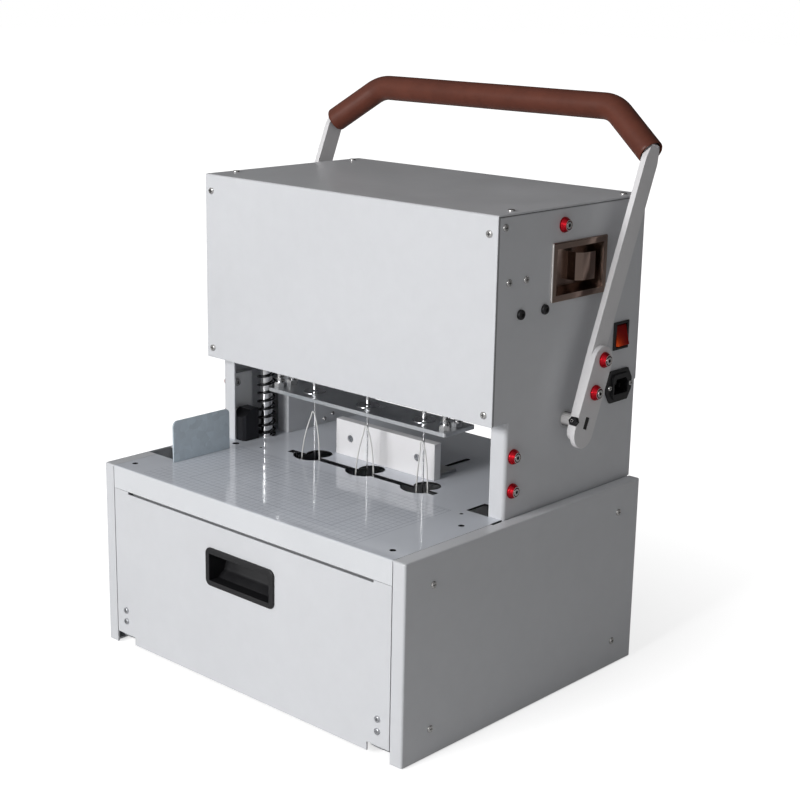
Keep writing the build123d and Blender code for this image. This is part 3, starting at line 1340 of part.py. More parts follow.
def thread_points(index):
    # From the spool up through the guide bar, over the needle's hook and back through the bar
    x = HOLES_X[index]
    lx, ly, rx, ry = THREAD_LEGS[index]
    yl, yr = HOLE_Y + ly, HOLE_Y + ry
    return [
        (x + lx, SPOOL_Y - 12.4, SPOOL_Z + 18.1),
        (x + lx, SPOOL_Y + 31.0, SPOOL_Z + 46.6),
        (x + lx, SPOOL_Y + 67.0, SPOOL_Z + 72.4),
        (x + lx + 0.2, yl - 0.6, GUIDE_BAR_Z[0] - 6.0),
        (x + lx, yl, GUIDE_BAR_Z[1] + 3.0),
        (x + lx * 0.86, HOLE_Y + ly * 0.85, HOOK_Z - 40.0),
        (x + lx * 0.54, HOLE_Y + ly * 0.55 - 0.9, HOOK_Z - 21.0),
        (x + lx * 0.28, HOLE_Y + ly * 0.2 - 1.8, HOOK_Z - 10.0),
        (x - 2.5, HOLE_Y - 2.3, HOOK_Z - 4.0),
        (x - 1.2, HOLE_Y - 2.7, HOOK_Z - 0.6),
        (x + 1.3, HOLE_Y - 2.7, HOOK_Z - 0.6),
        (x + 2.6, HOLE_Y - 2.3, HOOK_Z - 4.0),
        (x + rx * 0.46, HOLE_Y + ry * 0.2 - 1.7, HOOK_Z - 10.0),
        (x + rx * 0.70, HOLE_Y + ry * 0.55 - 0.8, HOOK_Z - 21.0),
        (x + rx * 0.90, HOLE_Y + ry * 0.9, HOOK_Z - 40.0),
        (x + rx, yr, GUIDE_BAR_Z[1] + 3.0),
        (x + rx + 0.3, yr + 0.4, GUIDE_BAR_Z[0] - 10.0),
    ]


def route_radii(points):
    radii = []
    for a, b, c in zip(points, points[1:], points[2:]):
        before = Vector(*b) - Vector(*a)
        after = Vector(*c) - Vector(*b)
        turn = before.get_angle(after)
        run = min(before.length, after.length)
        radii.append(min(0.45 * run / tan(radians(turn) / 2), 400.0))
    return radii


def thread(index):
    points = thread_points(index)
    radii = route_radii(points)
    print("thread %d radii" % index, [round(r, 1) for r in radii])
    path = FilletPolyline(*points, radius=radii)
    section = Plane(origin=path.position_at(0), z_dir=path.tangent_at(0)) * Circle(THREAD_R)
    tube = sweep(section, path=path)
    print("thread %d length %.1f volume ratio %.4f" % (
        index, path.length, tube.volume / (pi * THREAD_R ** 2 * path.length)))
    return tube


def chip_tray():
    y0, y1 = HOLE_Y - 56, HOLE_Y + 56
    outer = block(-96, 96, y0, y1, FLOOR_Z + SHEET, 42)
    inner = block(-94.8, 94.8, y0 + 1.2, y1 - 1.2, FLOOR_Z + SHEET + 1.2, 50)
    return outer - inner


# Paper guides

def backstop():
    body = block(BACKSTOP_X[0], BACKSTOP_X[1], BACKSTOP_Y[0], BACKSTOP_Y[1], TABLE_Z + 0.2, BACKSTOP_TOP_Z)
    body = fillet(edges_at(body, Axis.Z, y=BACKSTOP_Y[0]), 1.0)
    for x in (-49.0, 49.5):
        body = body - rod_y(2.6, BACKSTOP_Y[0] - 1, BACKSTOP_Y[1] + 1, x, 226.5)
        body = body - rod_y(4.2, BACKSTOP_Y[0] - 1, BACKSTOP_Y[0] + 5, x, 226.5)
    return body


def backstop_bracket():
    y0 = BACKSTOP_Y[1]
    up = block(-64, 67, y0, y0 + 2.5, TABLE_Z + 0.2, 240)
    foot = block(-64, 67, y0, y0 + 34, TABLE_Z + 0.2, TABLE_Z + 2.7)
    body = up + foot
    for x in (-49.0, 49.5):
        body = body - rod_y(2.6, y0 - 1, y0 + 4, x, 226.5)
    for x in (-45.0, 48.0):
        body = body - rod_z(2.5, TABLE_Z - 1, TABLE_Z + 5, x, y0 + 18)
    return body


def backstop_screws():
    parts = []
    for x in (-49.0, 49.5):
        screw = socket_screw(2.45, 9.0, 4.0)
        parts.append(on_front(screw, x, BACKSTOP_Y[0] + 5, 226.5))
    return group(parts)


def backstop_clamps():
    # Knurled thumb screws through the table's slots with a plate nut below
    parts = []
    y = BACKSTOP_Y[1] + 18
    for x in (-45.0, 48.0):
        knob = rod_z(8, TABLE_Z + 2.7, TABLE_Z + 13, x, y)
        knob = chamfer(knob.edges().filter_by(GeomType.CIRCLE).group_by(Axis.Z)[-1], 1)
        stem = rod_z(2.5, TABLE_Z - 9, TABLE_Z + 3, x, y)
        nut = block(x - 7, x + 7, y - 6, y + 6, TABLE_Z - 7, TABLE_Z - SHEET - 0.3)
        parts.append(merged([knob, stem, nut]))
    return group(parts)


def side_guide():
    # Upright galvanised plate that slides across the table
    y0, y1 = GUIDE_Y
    x = GUIDE_X
    plate = block(x - 1.0, x + 1.0, y0, y1, TABLE_Z + 0.3, GUIDE_TOP_Z)
    tops = plate.edges().filter_by(Axis.X).filter_by_position(Axis.Z, GUIDE_TOP_Z - 0.1, GUIDE_TOP_Z + 0.1)
    return fillet(tops, 6)


def guide_carriage():
    # Block under the table that carries the side guide through the slot
    x = GUIDE_X - 1.0
    ym = (GUIDE_SLOT[2] + GUIDE_SLOT[3]) / 2
    neck = block(x - 2.0, x, ym - 13.5, ym + 13.5, TABLE_Z - 12, TABLE_Z + 14)
    shoe = block(x - 14.0, x, ym - 13.5, ym + 13.5, TABLE_Z - 18, TABLE_Z - 5)
    body = neck + shoe
    return body - rod_x(3.0 + RUNNING, x - 20, x + 20, GUIDE_ROD_Y, GUIDE_ROD_Z)


def guide_rod():
    end = GUIDE_X + 20.3
    rod = rod_x(3.0, SHEET - SIDE_X, end, GUIDE_ROD_Y, GUIDE_ROD_Z)
    foot = block(end - 4, end, GUIDE_ROD_Y - 8, GUIDE_ROD_Y + 8, GUIDE_ROD_Z - 8, TABLE_Z - SHEET)
    return rod + foot


def guide_rivets():
    parts = []
    ym = (GUIDE_SLOT[2] + GUIDE_SLOT[3]) / 2
    for y in (ym - 8, ym + 8):
        rivet = rod_x(2.2, GUIDE_X - 4.4, GUIDE_X - 3.0, y, TABLE_Z + 9)
        parts.append(rivet)
    return group(parts)


def power_supply():
    y0, y1 = HOLE_Y + 86, HOLE_Y + 146
    body = block(60, 150, y0, y1, FLOOR_Z + SHEET, 62)
    body = fillet(body.edges().filter_by(Axis.Z), 3)
    for i in range(8):
        x = 70 + i * 10
        body = body - block(x - 1.5, x + 1.5, y0 + 10, y1 - 10, 60.5, 64)
    return body


def build():
    keep("base_side_left", base_side(-1))
    keep("base_side_right", base_side(1))
    keep("table_panel", table_panel())
    keep("base_floor", base_floor())
    keep("base_rear", base_rear())
    keep("rubber_feet", rubber_feet())
    keep("spacers", group([base_standoffs(), guide_bar_posts()]))
    keep("frame_screws", group([base_screws(), cover_screws(), side_fasteners(), liner_screws(),
                                frame_collar_screws(), column_bracket_screws()]))
    keep("frame_plate_left", frame_plate(-1))
    keep("frame_plate_right", frame_plate(1))
    keep("column_liners", group([inner_wall(-1), inner_wall(1), column_back(-1), column_back(1)]))
    keep("front_cover", front_cover())
    keep("rear_cover", rear_cover())
    keep("inner_brackets", group([cover_tabs(), bridge_beam(), column_bracket()]))
    keep("recess_handles", group([recess_handle(-1), recess_handle(1)]))
    keep("rocker_housing", rocker_housing())
    keep("power_inlet", power_inlet())
    keep("black_caps", black_caps())
    keep("frame_collars", frame_collars())
    keep("guide_columns", group([guide_column(-1), guide_column(1), needle_guides()]))
    keep("column_blocks", group([column_socket(-1), column_socket(1), foot_block()]))
    keep("shaft_bearings", shaft_bearings())
    keep("thread_guide_bar", thread_guide_bar())
    keep("spool_stand", spool_stand())
    keep("guide_rod", guide_rod())
    keep("power_supply", power_supply())
    keep("chip_tray", chip_tray())
    keep("door_hinge_brackets", group([hinge_bracket(-1), hinge_bracket(1), hinge_bar(-1), hinge_bar(1)]))
    keep("front_door", front_door())
    keep("door_pull", door_pull())
    keep("door_hinges", group([door_leaf(-1), door_leaf(1), door_screws()]))
    keep("rocker", rocker())
    keep("pivot_shaft", pivot_shaft())
    keep("lever_arms", group([arm(-1), arm(1), hub(-1), hub(1), grip_core()]))
    keep("hub_collars", hub_collars())
    keep("hub_screws", group([hub_screws(), set_screws()]))
    keep("grip_sleeve", grip_sleeve())
    keep("sector_pinions", group([sector_pinion(-1), sector_pinion(1)]))
    keep("drill_head", group([head_plate(), rack(-1), rack(1)]))
    keep("head_bushes", group([column_bushes(), bearing_housings(), idler_rollers(), idler_pins()]))
    keep("drive_belt", belt())
    keep("motor_body", motor_body())
    keep("motor_rotor", motor_rotor())
    for name, x in zip(("left", "middle", "right"), HOLES_X):
        keep("spindle_" + name, group([spindle(x), pulley(PULLEY_R, SPINDLE_R, x, HOLE_Y), hollow_drill(x)]))
    keep("press_plate", press_plate())
    keep("press_posts", group([press_bushes(), press_posts()]))
    keep("column_springs", group([column_spring(-1), column_spring(1)]))
    keep("post_springs", group([post_spring(s, y) for s in (-1, 1) for y in POSTS_Y]))
    keep("needle_bar", needle_bar())
    keep("needles", needles())
    for index, name in enumerate(("left", "middle", "right")):
        keep("thread_" + name, thread(index))
    keep("thread_spools", group([spool(x) for x in HOLES_X] + [thread_winding(x) for x in HOLES_X]))
    keep("backstop", backstop())
    keep("backstop_carriage", group([backstop_bracket(), backstop_screws(), backstop_clamps()]))
    keep("side_guide", side_guide())
    keep("guide_carriage", group([guide_carriage(), guide_rivets()]))
    for name, shape in NODES.items():
        export_step(shape, "parts/%s.step" % name)


os.makedirs("parts", exist_ok=True)
build()
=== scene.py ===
"""Three-hole paper binding machine: finishes, springs, threads and grip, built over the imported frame."""
import logging
import math
from dataclasses import dataclass
from enum import Enum
from functools import cached_property, reduce
from typing import ClassVar

import bpy
import numpy as np
from mathutils import Matrix


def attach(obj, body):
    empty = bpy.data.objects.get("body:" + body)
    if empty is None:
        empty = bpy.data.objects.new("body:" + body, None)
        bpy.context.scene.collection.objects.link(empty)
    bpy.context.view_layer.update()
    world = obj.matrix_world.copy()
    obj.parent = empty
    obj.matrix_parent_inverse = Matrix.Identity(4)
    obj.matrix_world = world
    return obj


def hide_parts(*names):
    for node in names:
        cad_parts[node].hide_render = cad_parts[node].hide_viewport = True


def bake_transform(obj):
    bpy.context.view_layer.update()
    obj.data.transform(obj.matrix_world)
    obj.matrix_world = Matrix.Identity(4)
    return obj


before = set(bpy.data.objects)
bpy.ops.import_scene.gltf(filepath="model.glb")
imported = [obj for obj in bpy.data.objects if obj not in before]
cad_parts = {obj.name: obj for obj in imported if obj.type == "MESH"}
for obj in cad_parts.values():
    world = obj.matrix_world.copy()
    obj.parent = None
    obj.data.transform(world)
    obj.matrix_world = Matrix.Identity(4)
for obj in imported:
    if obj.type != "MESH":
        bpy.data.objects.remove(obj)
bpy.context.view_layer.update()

LOG = logging.getLogger("binder")
MM = 0.001
PER_METRE = 1000.0
FULL_TURN = 2.0 * math.pi

# The lever's pivot and lean, and its own directions up and out of its front edge.
PIVOT = np.array([0.0, 0.0619, 0.292])
LEAN = math.radians(22.1)
UP_LEVER = np.array([0.0, math.sin(LEAN), math.cos(LEAN)])
FORWARD = np.array([0.0, -math.cos(LEAN), math.sin(LEAN)])

# X of the three holes, and Y and Z of the spools' rod, in millimetres.
HOLES_X = {"left": -80.0, "middle": 0.0, "right": 80.0}
ROD = (-108.8, 84.0)

# Spans of a grey pattern that a shade or a gloss runs over.
MIDDLE = (0.3, 0.7)
WIDE = (0.3, 0.75)

Triple = tuple[float, float, float]
Socket = bpy.types.NodeSocket


class Side(Enum):
    """Side of the machine, as the sign of its X."""

    LEFT = -1
    RIGHT = 1


class Source(Enum):
    """Coordinates that a pattern follows."""

    BODY = "Object"
    SURFACE = "UV"


# Node graphs

class Nodes:
    """A node tree, emptied and then filled one node at a time."""

    def __init__(self, tree: bpy.types.NodeTree) -> None:
        """Empty the tree.

        Args:
            tree: a material's or the sky's tree.
        """
        self.tree = tree
        tree.nodes.clear()

    def fill(self, node: bpy.types.Node, inputs: dict[str | int, object]) -> None:
        """Feed a node's inputs.

        Args:
            node: the node.
            inputs: name or number of each input, with its value or the socket that feeds it.
        """
        for key, value in inputs.items():
            if isinstance(value, Socket):
                self.tree.links.new(value, node.inputs[key])
            else:
                node.inputs[key].default_value = value

    def add(self, kind: str, inputs: dict[str | int, object], out: str | int = 0, **settings: object) -> Socket:
        """Add a node.

        Args:
            kind: Blender's name of it, without the prefix.
            inputs: as in fill.
            out: name or number of the output that is wanted.
            settings: the node's own settings.

        Returns:
            That output.
        """
        node = self.tree.nodes.new("ShaderNode" + kind)
        for key, value in settings.items():
            setattr(node, key, value)
        self.fill(node, inputs)
        return node.outputs[out]

    def parts(self, vector: Socket) -> tuple[Socket, ...]:
        """X, Y and Z of a vector."""
        return tuple(self.add("SeparateXYZ", {0: vector}).node.outputs)

    def math(self, kind: str, *values: Socket | float) -> Socket:
        """One arithmetic node, by Blender's name of the operation, on sockets or numbers."""
        return self.add("Math", dict(enumerate(values)), operation=kind)

    def total(self, a: Socket, share_a: float, b: Socket, share_b: float) -> Socket:
        """Sum of two values, each times its share."""
        return self.math("ADD", self.math("MULTIPLY", a, share_a), self.math("MULTIPLY", b, share_b))

    def largest(self, *values: Socket) -> Socket:
        """The largest of some values, which joins masks."""
        return reduce(lambda a, b: self.math("MAXIMUM", a, b), values)

    def between(self, value: Socket, low: float, high: float) -> Socket:
        """1 where a value lies between two numbers, else 0."""
        return self.math("MULTIPLY", self.math("GREATER_THAN", value, low), self.math("LESS_THAN", value, high))

    def ramp(self, value: Socket, low: float, high: float, out_low: Socket | float = 0.0,
             out_high: Socket | float = 1.0) -> Socket:
        """Map a value from one range to another, clamped.

        Args:
            value: the input.
            low: input that gives out_low.
            high: input that gives out_high.
            out_low: result at low.
            out_high: result at high.

        Returns:
            The mapped value.
        """
        return self.add("MapRange", {"Value": value, "From Min": low, "From Max": high, "To Min": out_low,
                                     "To Max": out_high}, "Result")


class Graph(Nodes):
    """A material's nodes: a Principled shader on the output, and what the finishes here need."""

    def __init__(self, name: str) -> None:
        """Start the material.

        Args:
            name: its name.
        """
        self.material = bpy.data.materials.new(name)
        self.material.use_nodes = True
        super().__init__(self.material.node_tree)
        self.output = self.tree.nodes.new("ShaderNodeOutputMaterial")
        self.shader = self.tree.nodes.new("ShaderNodeBsdfPrincipled")
        self.fill(self.output, {"Surface": self.shader.outputs["BSDF"]})
        self.coords = self.tree.nodes.new("ShaderNodeTexCoord")
        self.body = self.coords.outputs["Object"]

    def set(self, **values: object) -> None:
        """Feed the shader's inputs, named with underscores for spaces."""
        self.fill(self.shader, {key.replace("_", " "): value for key, value in values.items()})

    def mapped(self, scale: Triple, turn: Triple = (0.0, 0.0, 0.0), source: Source = Source.BODY) -> Socket:
        """Coordinates, stretched and turned.

        Args:
            scale: factor on each axis.
            turn: radians about each axis.
            source: which coordinates.

        Returns:
            The vector.
        """
        return self.add("Mapping", {"Vector": self.coords.outputs[source.value], "Scale": scale, "Rotation": turn})

    @cached_property
    def millimetres(self) -> Socket:
        """The place on the body in millimetres."""
        return self.mapped((PER_METRE, PER_METRE, PER_METRE))

    @cached_property
    def place(self) -> tuple[Socket, ...]:
        """X, Y and Z on the body, in millimetres."""
        return self.parts(self.millimetres)

    def noise(self, scale: float, detail: float = 2.0, rough: float = 0.5,
              vector: Socket | None = None) -> Socket:
        """Soft noise.

        Args:
            scale: cells per metre.
            detail: octaves.
            rough: share of each further octave.
            vector: coordinates, the body's by default.

        Returns:
            The grey output, 0 to 1.
        """
        return self.add("TexNoise", {"Vector": vector or self.body, "Scale": scale, "Detail": detail,
                                     "Roughness": rough}, "Fac")

    def cells(self, scale: float, out: str = "Distance") -> Socket:
        """Cells about scattered points, scale of them per metre: distance to the nearest point, or Color."""
        return self.add("TexVoronoi", {"Vector": self.body, "Scale": scale}, out)

    def mix(self, fac: Socket, a: Socket | Triple, b: Socket | Triple) -> Socket:
        """Colour a where fac is 0 and colour b where it is 1."""
        first, second = (c if isinstance(c, Socket) else (*c, 1.0) for c in (a, b))
        return self.add("Mix", {0: fac, 6: first, 7: second}, 2, data_type="RGBA")

    def shades(self, value: Socket, colour: Triple, darker: float, lighter: float = 1.0,
               span: tuple[float, float] = MIDDLE) -> Socket:
        """A colour that runs from a darker to a lighter shade of itself.

        Args:
            value: what it follows.
            colour: the colour.
            darker: factor of the dark shade.
            lighter: factor of the light shade.
            span: values of the darkest and the lightest place.

        Returns:
            The colour.
        """
        return self.mix(self.ramp(value, *span), tint(colour, darker), tint(colour, lighter))

    def recess(self, reach: float) -> Socket:
        """1 deep in a recess and 0 in the open, from the surface within reach, in metres, that closes a place in; a
        mask for painted shade.
        """
        node = self.add("AmbientOcclusion", {"Distance": reach}, "AO", samples=8, only_local=True)
        return self.ramp(node, 0.45, 0.80, 1.0, 0.0)

    def relief(self, height: Socket, depth: float, strength: float, edge: float = 0.0) -> None:
        """Send a height to the shader's normal, over edges that are rounded by a small radius.

        Args:
            height: the relief, 0 to 1.
            depth: metres from its lowest to its highest.
            strength: share of it that shows.
            edge: radius of the softened edges in metres, 0 for none.
        """
        inputs = {"Height": height, "Distance": depth, "Strength": strength}
        if edge > 0.0:
            inputs["Normal"] = self.add("Bevel", {"Radius": edge}, samples=4)
        self.set(Normal=self.add("Bump", inputs))


def tint(colour: Triple, factor: float) -> Triple:
    """A colour times a factor, never above 1."""
    return tuple(min(1.0, c * factor) for c in colour)


# Finishes. Places are in millimetres, depths and edges of a relief in metres. A noise is given as its cells per
# metre, its octaves and the share of each further one.

@dataclass(frozen=True)
class Finish:
    """Base of every finish."""

    name: str

    def build(self) -> bpy.types.Material:
        """Make the material.

        Returns:
            The material.
        """
        g = Graph(self.name)
        self.draw(g)
        return g.material

    def draw(self, g: Graph) -> None:
        """Fill the graph with the finish's own nodes.

        Args:
            g: the material's graph.
        """
        raise NotImplementedError


@dataclass(frozen=True)
class PowderCoat(Finish):
    """Baked powder coat: faint orange peel and soft smudges.

    The seam field is where a cover meets the sheet, as its front Y, bottom Z and top Z; a strip of seam_width along
    that front and top is painted dark as the shade in the gap. An empty seam leaves it out.
    """

    colour: Triple
    roughness: float = 0.34
    edge: float = 0.0005
    seam: tuple[float, ...] = ()
    seam_width: float = 1.5
    painted_seam_shade: Triple = (0.05, 0.05, 0.05)
    broad: Triple = (6.0, 3.0, 0.55)
    fine: Triple = (55.0, 4.0, 0.6)
    smudges: Triple = (14.0, 4.0, 0.65)
    peel: tuple[float, float] = (620.0, 2400.0)

    def seam_shade(self, g: Graph) -> Socket:
        """How dark the painted seam shade is.

        Formula: 1 at the cover's edge, falling to 0 over seam_width behind the front Y or under the top Z, and 0
        below the bottom Z.

        Args:
            g: the material's graph.

        Returns:
            The shade, 0 to 1.
        """
        front, bottom, top = self.seam
        _, y, z = g.place
        beside = g.ramp(y, front, front + self.seam_width, 1.0, 0.0)
        under = g.ramp(z, top - self.seam_width, top)
        return g.math("MULTIPLY", g.largest(beside, under), g.math("GREATER_THAN", z, bottom))

    def draw(self, g: Graph) -> None:
        """Draw the coat.

        Args:
            g: the material's graph.
        """
        tone = g.total(g.noise(*self.broad), 0.6, g.noise(*self.fine), 0.4)
        paint = g.shades(tone, self.colour, 0.955, 1.02)
        # Painted shade: a dark strip where the cover meets the sheet, as the gap would be in shadow.
        if self.seam:
            paint = g.mix(self.seam_shade(g), paint, self.painted_seam_shade)
        smudge = g.ramp(g.noise(*self.smudges), 0.35, 0.75, self.roughness - 0.05, self.roughness + 0.10)
        g.set(Base_Color=paint, Roughness=smudge)
        coarse, small = (g.noise(cells, 1.0) for cells in self.peel)
        g.relief(g.total(coarse, 1.0, small, 0.35), 0.00003, 0.30, self.edge)


@dataclass(frozen=True)
class TableTop(Finish):
    """Glossy table sheet with printed alignment squares, a rear rule and a double right border.

    The walls of its slots and holes, found as upright faces inside the within rectangle, are painted near black as
    shade.
    A rectangle is its lowest X, highest X, lowest Y and highest Y. The sheets are nested outlines of paper, each as
    half its width and its depth, that start at sheets_at; left, right, front and rear bound the squares.
    """

    name: str = "table_top"
    paint: Triple = (0.74, 0.755, 0.78)
    film: Triple = (0.75, 0.78, 0.84)
    line: Triple = (0.36, 0.39, 0.46)
    wall: Triple = (0.012, 0.012, 0.014)
    left: float = -161.0
    right: float = 143.0
    front: float = -184.8
    rear: float = -47.8
    within: tuple[float, ...] = (-206.0, 206.0, -186.0, 176.0)
    square: float = 7.6
    half_rule: float = 0.4
    overrun: float = 2.0
    border: float = 6.0
    far_rule: float = 3.0
    far_width: float = 0.6
    thin: float = 0.7
    faint: float = 0.62
    strong: float = 0.85
    speckle: Triple = (260.0, 3.0, 0.5)
    tone: Triple = (9.0, 3.0, 0.6)
    smears: Triple = (22.0, 4.0, 0.6)
    matt: float = 0.36
    sheets: tuple[tuple[float, float], ...] = ((105.0, 94.0), (74.0, 68.0), (45.0, 42.0))
    sheets_at: tuple[float, float] = (-9.0, -67.8)

    def inside(self, g: Graph, box: tuple[float, ...]) -> Socket:
        """1 within a rectangle, 0 outside it."""
        x, y, _ = g.place
        return g.math("MULTIPLY", g.between(x, *box[:2]), g.between(y, *box[2:]))

    def squares(self, g: Graph) -> Socket:
        """Thin rules, one square apart from the left and rear edges of the print.

        Formula: a rule is where the distance from the edge, counted in squares, is within half a rule of a whole
        number.

        Args:
            g: the material's graph.

        Returns:
            Their mask.
        """
        lines = []
        for value, start in zip(g.place, (self.left, self.rear)):
            step = g.math("FRACT", g.math("DIVIDE", g.math("SUBTRACT", value, start), self.square))
            away = g.math("ABSOLUTE", g.math("SUBTRACT", step, 0.5))
            lines.append(g.math("GREATER_THAN", away, 0.5 - self.half_rule / self.square))
        area = self.inside(g, (self.left, self.right, self.front, self.rear))
        return g.math("MULTIPLY", g.largest(*lines), area)

    def rules(self, g: Graph) -> Socket:
        """Strong rules: two at the rear, two at the right, and the nested outlines of paper.

        Args:
            g: the material's graph.

        Returns:
            Their mask.
        """
        half, far = self.half_rule, self.rear + self.far_rule
        across = (self.left - self.overrun, self.right + self.border)
        masks = [self.inside(g, box) for box in (
            (*across, self.rear - half, self.rear + half),
            (*across, far - self.far_width, far),
            (self.right - half, self.right + half, self.front, self.rear),
            (across[1] - self.far_width, across[1], self.front, far),
        )]
        x, y = self.sheets_at
        for wide, deep in self.sheets:
            outer, inner = (self.inside(g, (x - wide + less, x + wide - less, y - deep + less, y - less))
                            for less in (0.0, self.thin))
            masks.append(g.math("SUBTRACT", outer, inner))
        return g.largest(*masks)

    def draw(self, g: Graph) -> None:
        """Draw the sheet, its print and the painted shade on its slot and hole walls.

        Args:
            g: the material's graph.
        """
        faint = g.math("MULTIPLY", self.squares(g), self.faint)
        strong = g.math("MULTIPLY", self.rules(g), self.strong)
        speckle = g.ramp(g.noise(*self.speckle), 0.25, 0.75, 0.65, 1.0)
        ink = g.math("MULTIPLY", g.largest(faint, strong), speckle)
        up = g.parts(g.coords.outputs["Normal"])[2]
        top = g.math("GREATER_THAN", up, 0.7)
        tone = g.noise(*self.tone)
        printed = g.mix(ink, g.shades(tone, self.film, 0.94), self.line)
        face = g.mix(top, g.shades(tone, self.paint, 0.96), printed)
        # Painted shade: upright walls inside the within rectangle are darkened as if in shadow.
        upright = g.math("LESS_THAN", g.math("ABSOLUTE", up), 0.5)
        walls = g.math("MULTIPLY", self.inside(g, self.within), upright)
        gloss = g.ramp(g.noise(*self.smears), *WIDE, 0.06, 0.12)
        g.set(Base_Color=g.mix(walls, face, self.wall), Specular_IOR_Level=0.6,
              Roughness=g.add("Mix", {0: top, 2: self.matt, 3: gloss}))
        g.relief(g.noise(500.0, 2.0), 0.00002, 0.18, 0.0005)


@dataclass(frozen=True)
class Metal(Finish):
    """Bare or plated metal with drawn streaks along one axis and fine scratches."""

    colour: Triple
    roughness: float = 0.28
    streak: Triple = (1.0, 1.0, 1.0)
    grain: float = 900.0
    depth: float = 0.00002
    edge: float = 0.0002
    cloud: Triple = (24.0, 4.0, 0.6)

    def painted_highlights(self, g: Graph, metal: Socket) -> Socket:
        """The metal's colour with its painted highlights; plain metal has none."""
        return metal

    def draw(self, g: Graph) -> None:
        """Draw the metal.

        Args:
            g: the material's graph.
        """
        grain = g.noise(self.grain, 4.0, 0.65, g.mapped(self.streak))
        both = g.total(grain, 0.5, g.noise(*self.cloud), 0.5)
        g.set(Base_Color=self.painted_highlights(g, g.shades(both, self.colour, 0.9, 1.1)), Metallic=1.0,
              Roughness=g.ramp(both, *MIDDLE, self.roughness - 0.07, self.roughness + 0.09))
        g.relief(grain, self.depth, 0.35, self.edge)


@dataclass(frozen=True)
class PocketSteel(Metal):
    """Brown tinted, pressed steel of the carry pockets; the roll of the front rim has a painted highlight."""

    rim_highlight: Triple = (0.97, 0.93, 0.90)
    rim_y: tuple[float, float] = (28.9, 29.7)

    def painted_highlights(self, g: Graph, metal: Socket) -> Socket:
        """Painted highlight in front of the first of rim_y, tinted steel behind the second."""
        # Painted highlight: the rolled front rim is lightened as if it caught the light.
        return g.mix(g.ramp(g.place[1], *self.rim_y, 1.0, 0.0), metal, self.rim_highlight)


@dataclass(frozen=True)
class TurnedMetal(Finish):
    """Base of turned and ground metals: an even fine grain, and places that each kind paints with shade, blackens or
    bares.

    Its roughness runs from gloss to gloss and dull together.
    """

    colour: Triple
    darker: float = 0.85
    gloss: float = 0.16
    dull: float = 0.12
    grain: float = 900.0
    octaves: tuple[float, float] = (4.0, 0.65)
    streak: Triple = (1.0, 1.0, 1.0)
    edge: float = 0.0002
    # Colour of real black parts and of painted shade in sockets, seats and key slots.
    black: Triple = (0.012, 0.012, 0.014)

    def part(self, g: Graph, metal: Socket) -> None:
        """Set the colour and how metallic it is, place by place."""
        raise NotImplementedError

    def draw(self, g: Graph) -> None:
        """Draw the metal.

        Args:
            g: the material's graph.
        """
        grain = g.noise(self.grain, *self.octaves, g.mapped(self.streak))
        self.part(g, g.shades(grain, self.colour, self.darker))
        g.set(Roughness=g.ramp(grain, *MIDDLE, self.gloss, self.gloss + self.dull))
        g.relief(grain, 0.00001, 0.3, self.edge)


@dataclass(frozen=True)
class BrightScrews(TurnedMetal):
    """Bright screws with painted shade inside every socket and cross; the ones in one range of places are blackened.

    Formula: a place is black where its distance along a direction, in millimetres, lies in the span.
    """

    direction: Triple = (0.0, 0.0, 1.0)
    span: tuple[float, float] = (204.0, 209.0)
    matt: float = 0.7
    socket: float = 0.0022

    def part(self, g: Graph, metal: Socket) -> None:
        """Paint shade in the sockets and blacken the span.

        Args:
            g: the material's graph.
            metal: the colour of the plain metal.
        """
        along = g.add("VectorMath", {0: g.millimetres, 1: self.direction}, "Value", operation="DOT_PRODUCT")
        black = g.between(along, *self.span)
        # Painted shade: sockets and crosses are darkened where the place is closed in.
        steel = g.mix(g.recess(self.socket), metal, self.black)
        g.set(Base_Color=g.mix(black, steel, self.black),
              Metallic=g.math("SUBTRACT", 1.0, g.math("MULTIPLY", black, self.matt)))


@dataclass(frozen=True)
class Collar(TurnedMetal):
    """Red anodised collar with a bare turned rim; the seat of the screw inside it has painted shade.

    The rims field gives the distances from the middle plane of the rims on the frame and the lever.
    """

    bare: Triple = (0.78, 0.76, 0.75)
    rims: tuple[float, float] = (211.4, 237.9)
    near: float = 0.25
    seat: float = 0.004

    def part(self, g: Graph, metal: Socket) -> None:
        """Bare the rims and paint shade in the seats.

        Formula: a face is on a rim where it looks along X and lies near a rim's plane; the seat's painted shade is
        found from how closed in a place is.

        Args:
            g: the material's graph.
            metal: the colour of the plain metal.
        """
        along = g.math("ABSOLUTE", g.place[0])
        faced = g.math("GREATER_THAN", g.math("ABSOLUTE", g.parts(g.coords.outputs["Normal"])[0]), 0.9)
        hits = [g.math("LESS_THAN", g.math("ABSOLUTE", g.math("SUBTRACT", along, rim)), self.near)
                for rim in self.rims]
        # Painted shade: the screw's seat is darkened where the place is closed in.
        seated = g.mix(g.recess(self.seat), metal, self.black)
        g.set(Base_Color=g.mix(g.math("MULTIPLY", g.largest(*hits), faced), seated, self.bare), Metallic=1.0)


@dataclass(frozen=True)
class ShaftSteel(TurnedMetal):
    """Ground pivot shaft with painted shading; its flat ends, sunk in the lever's key slots, are painted black as
    shade.
    """

    shade: Triple = (0.07, 0.065, 0.065)
    sunk: float = 226.0
    metallic: float = 0.35

    def part(self, g: Graph, metal: Socket) -> None:
        """Paint shade on the bar and paint its ends black as shade in the key slots.

        Formula: a place is on a sunk end where its distance from the middle plane is more than sunk. Elsewhere
        painted shade darkens the steel as its face turns away from the eye, like a polished round bar.

        Args:
            g: the material's graph.
            metal: the colour of the plain metal.
        """
        # Painted shade: the steel darkens as its face turns from the eye.
        turned = g.add("LayerWeight", {"Blend": 0.5}, "Facing")
        steel = g.mix(g.ramp(turned, 0.30, 0.72), metal, self.shade)
        # Painted shade: the sunk ends are painted black as the key slots' shadow.
        end = g.math("GREATER_THAN", g.math("ABSOLUTE", g.place[0]), self.sunk)
        g.set(Base_Color=g.mix(end, steel, self.black), Metallic=self.metallic)


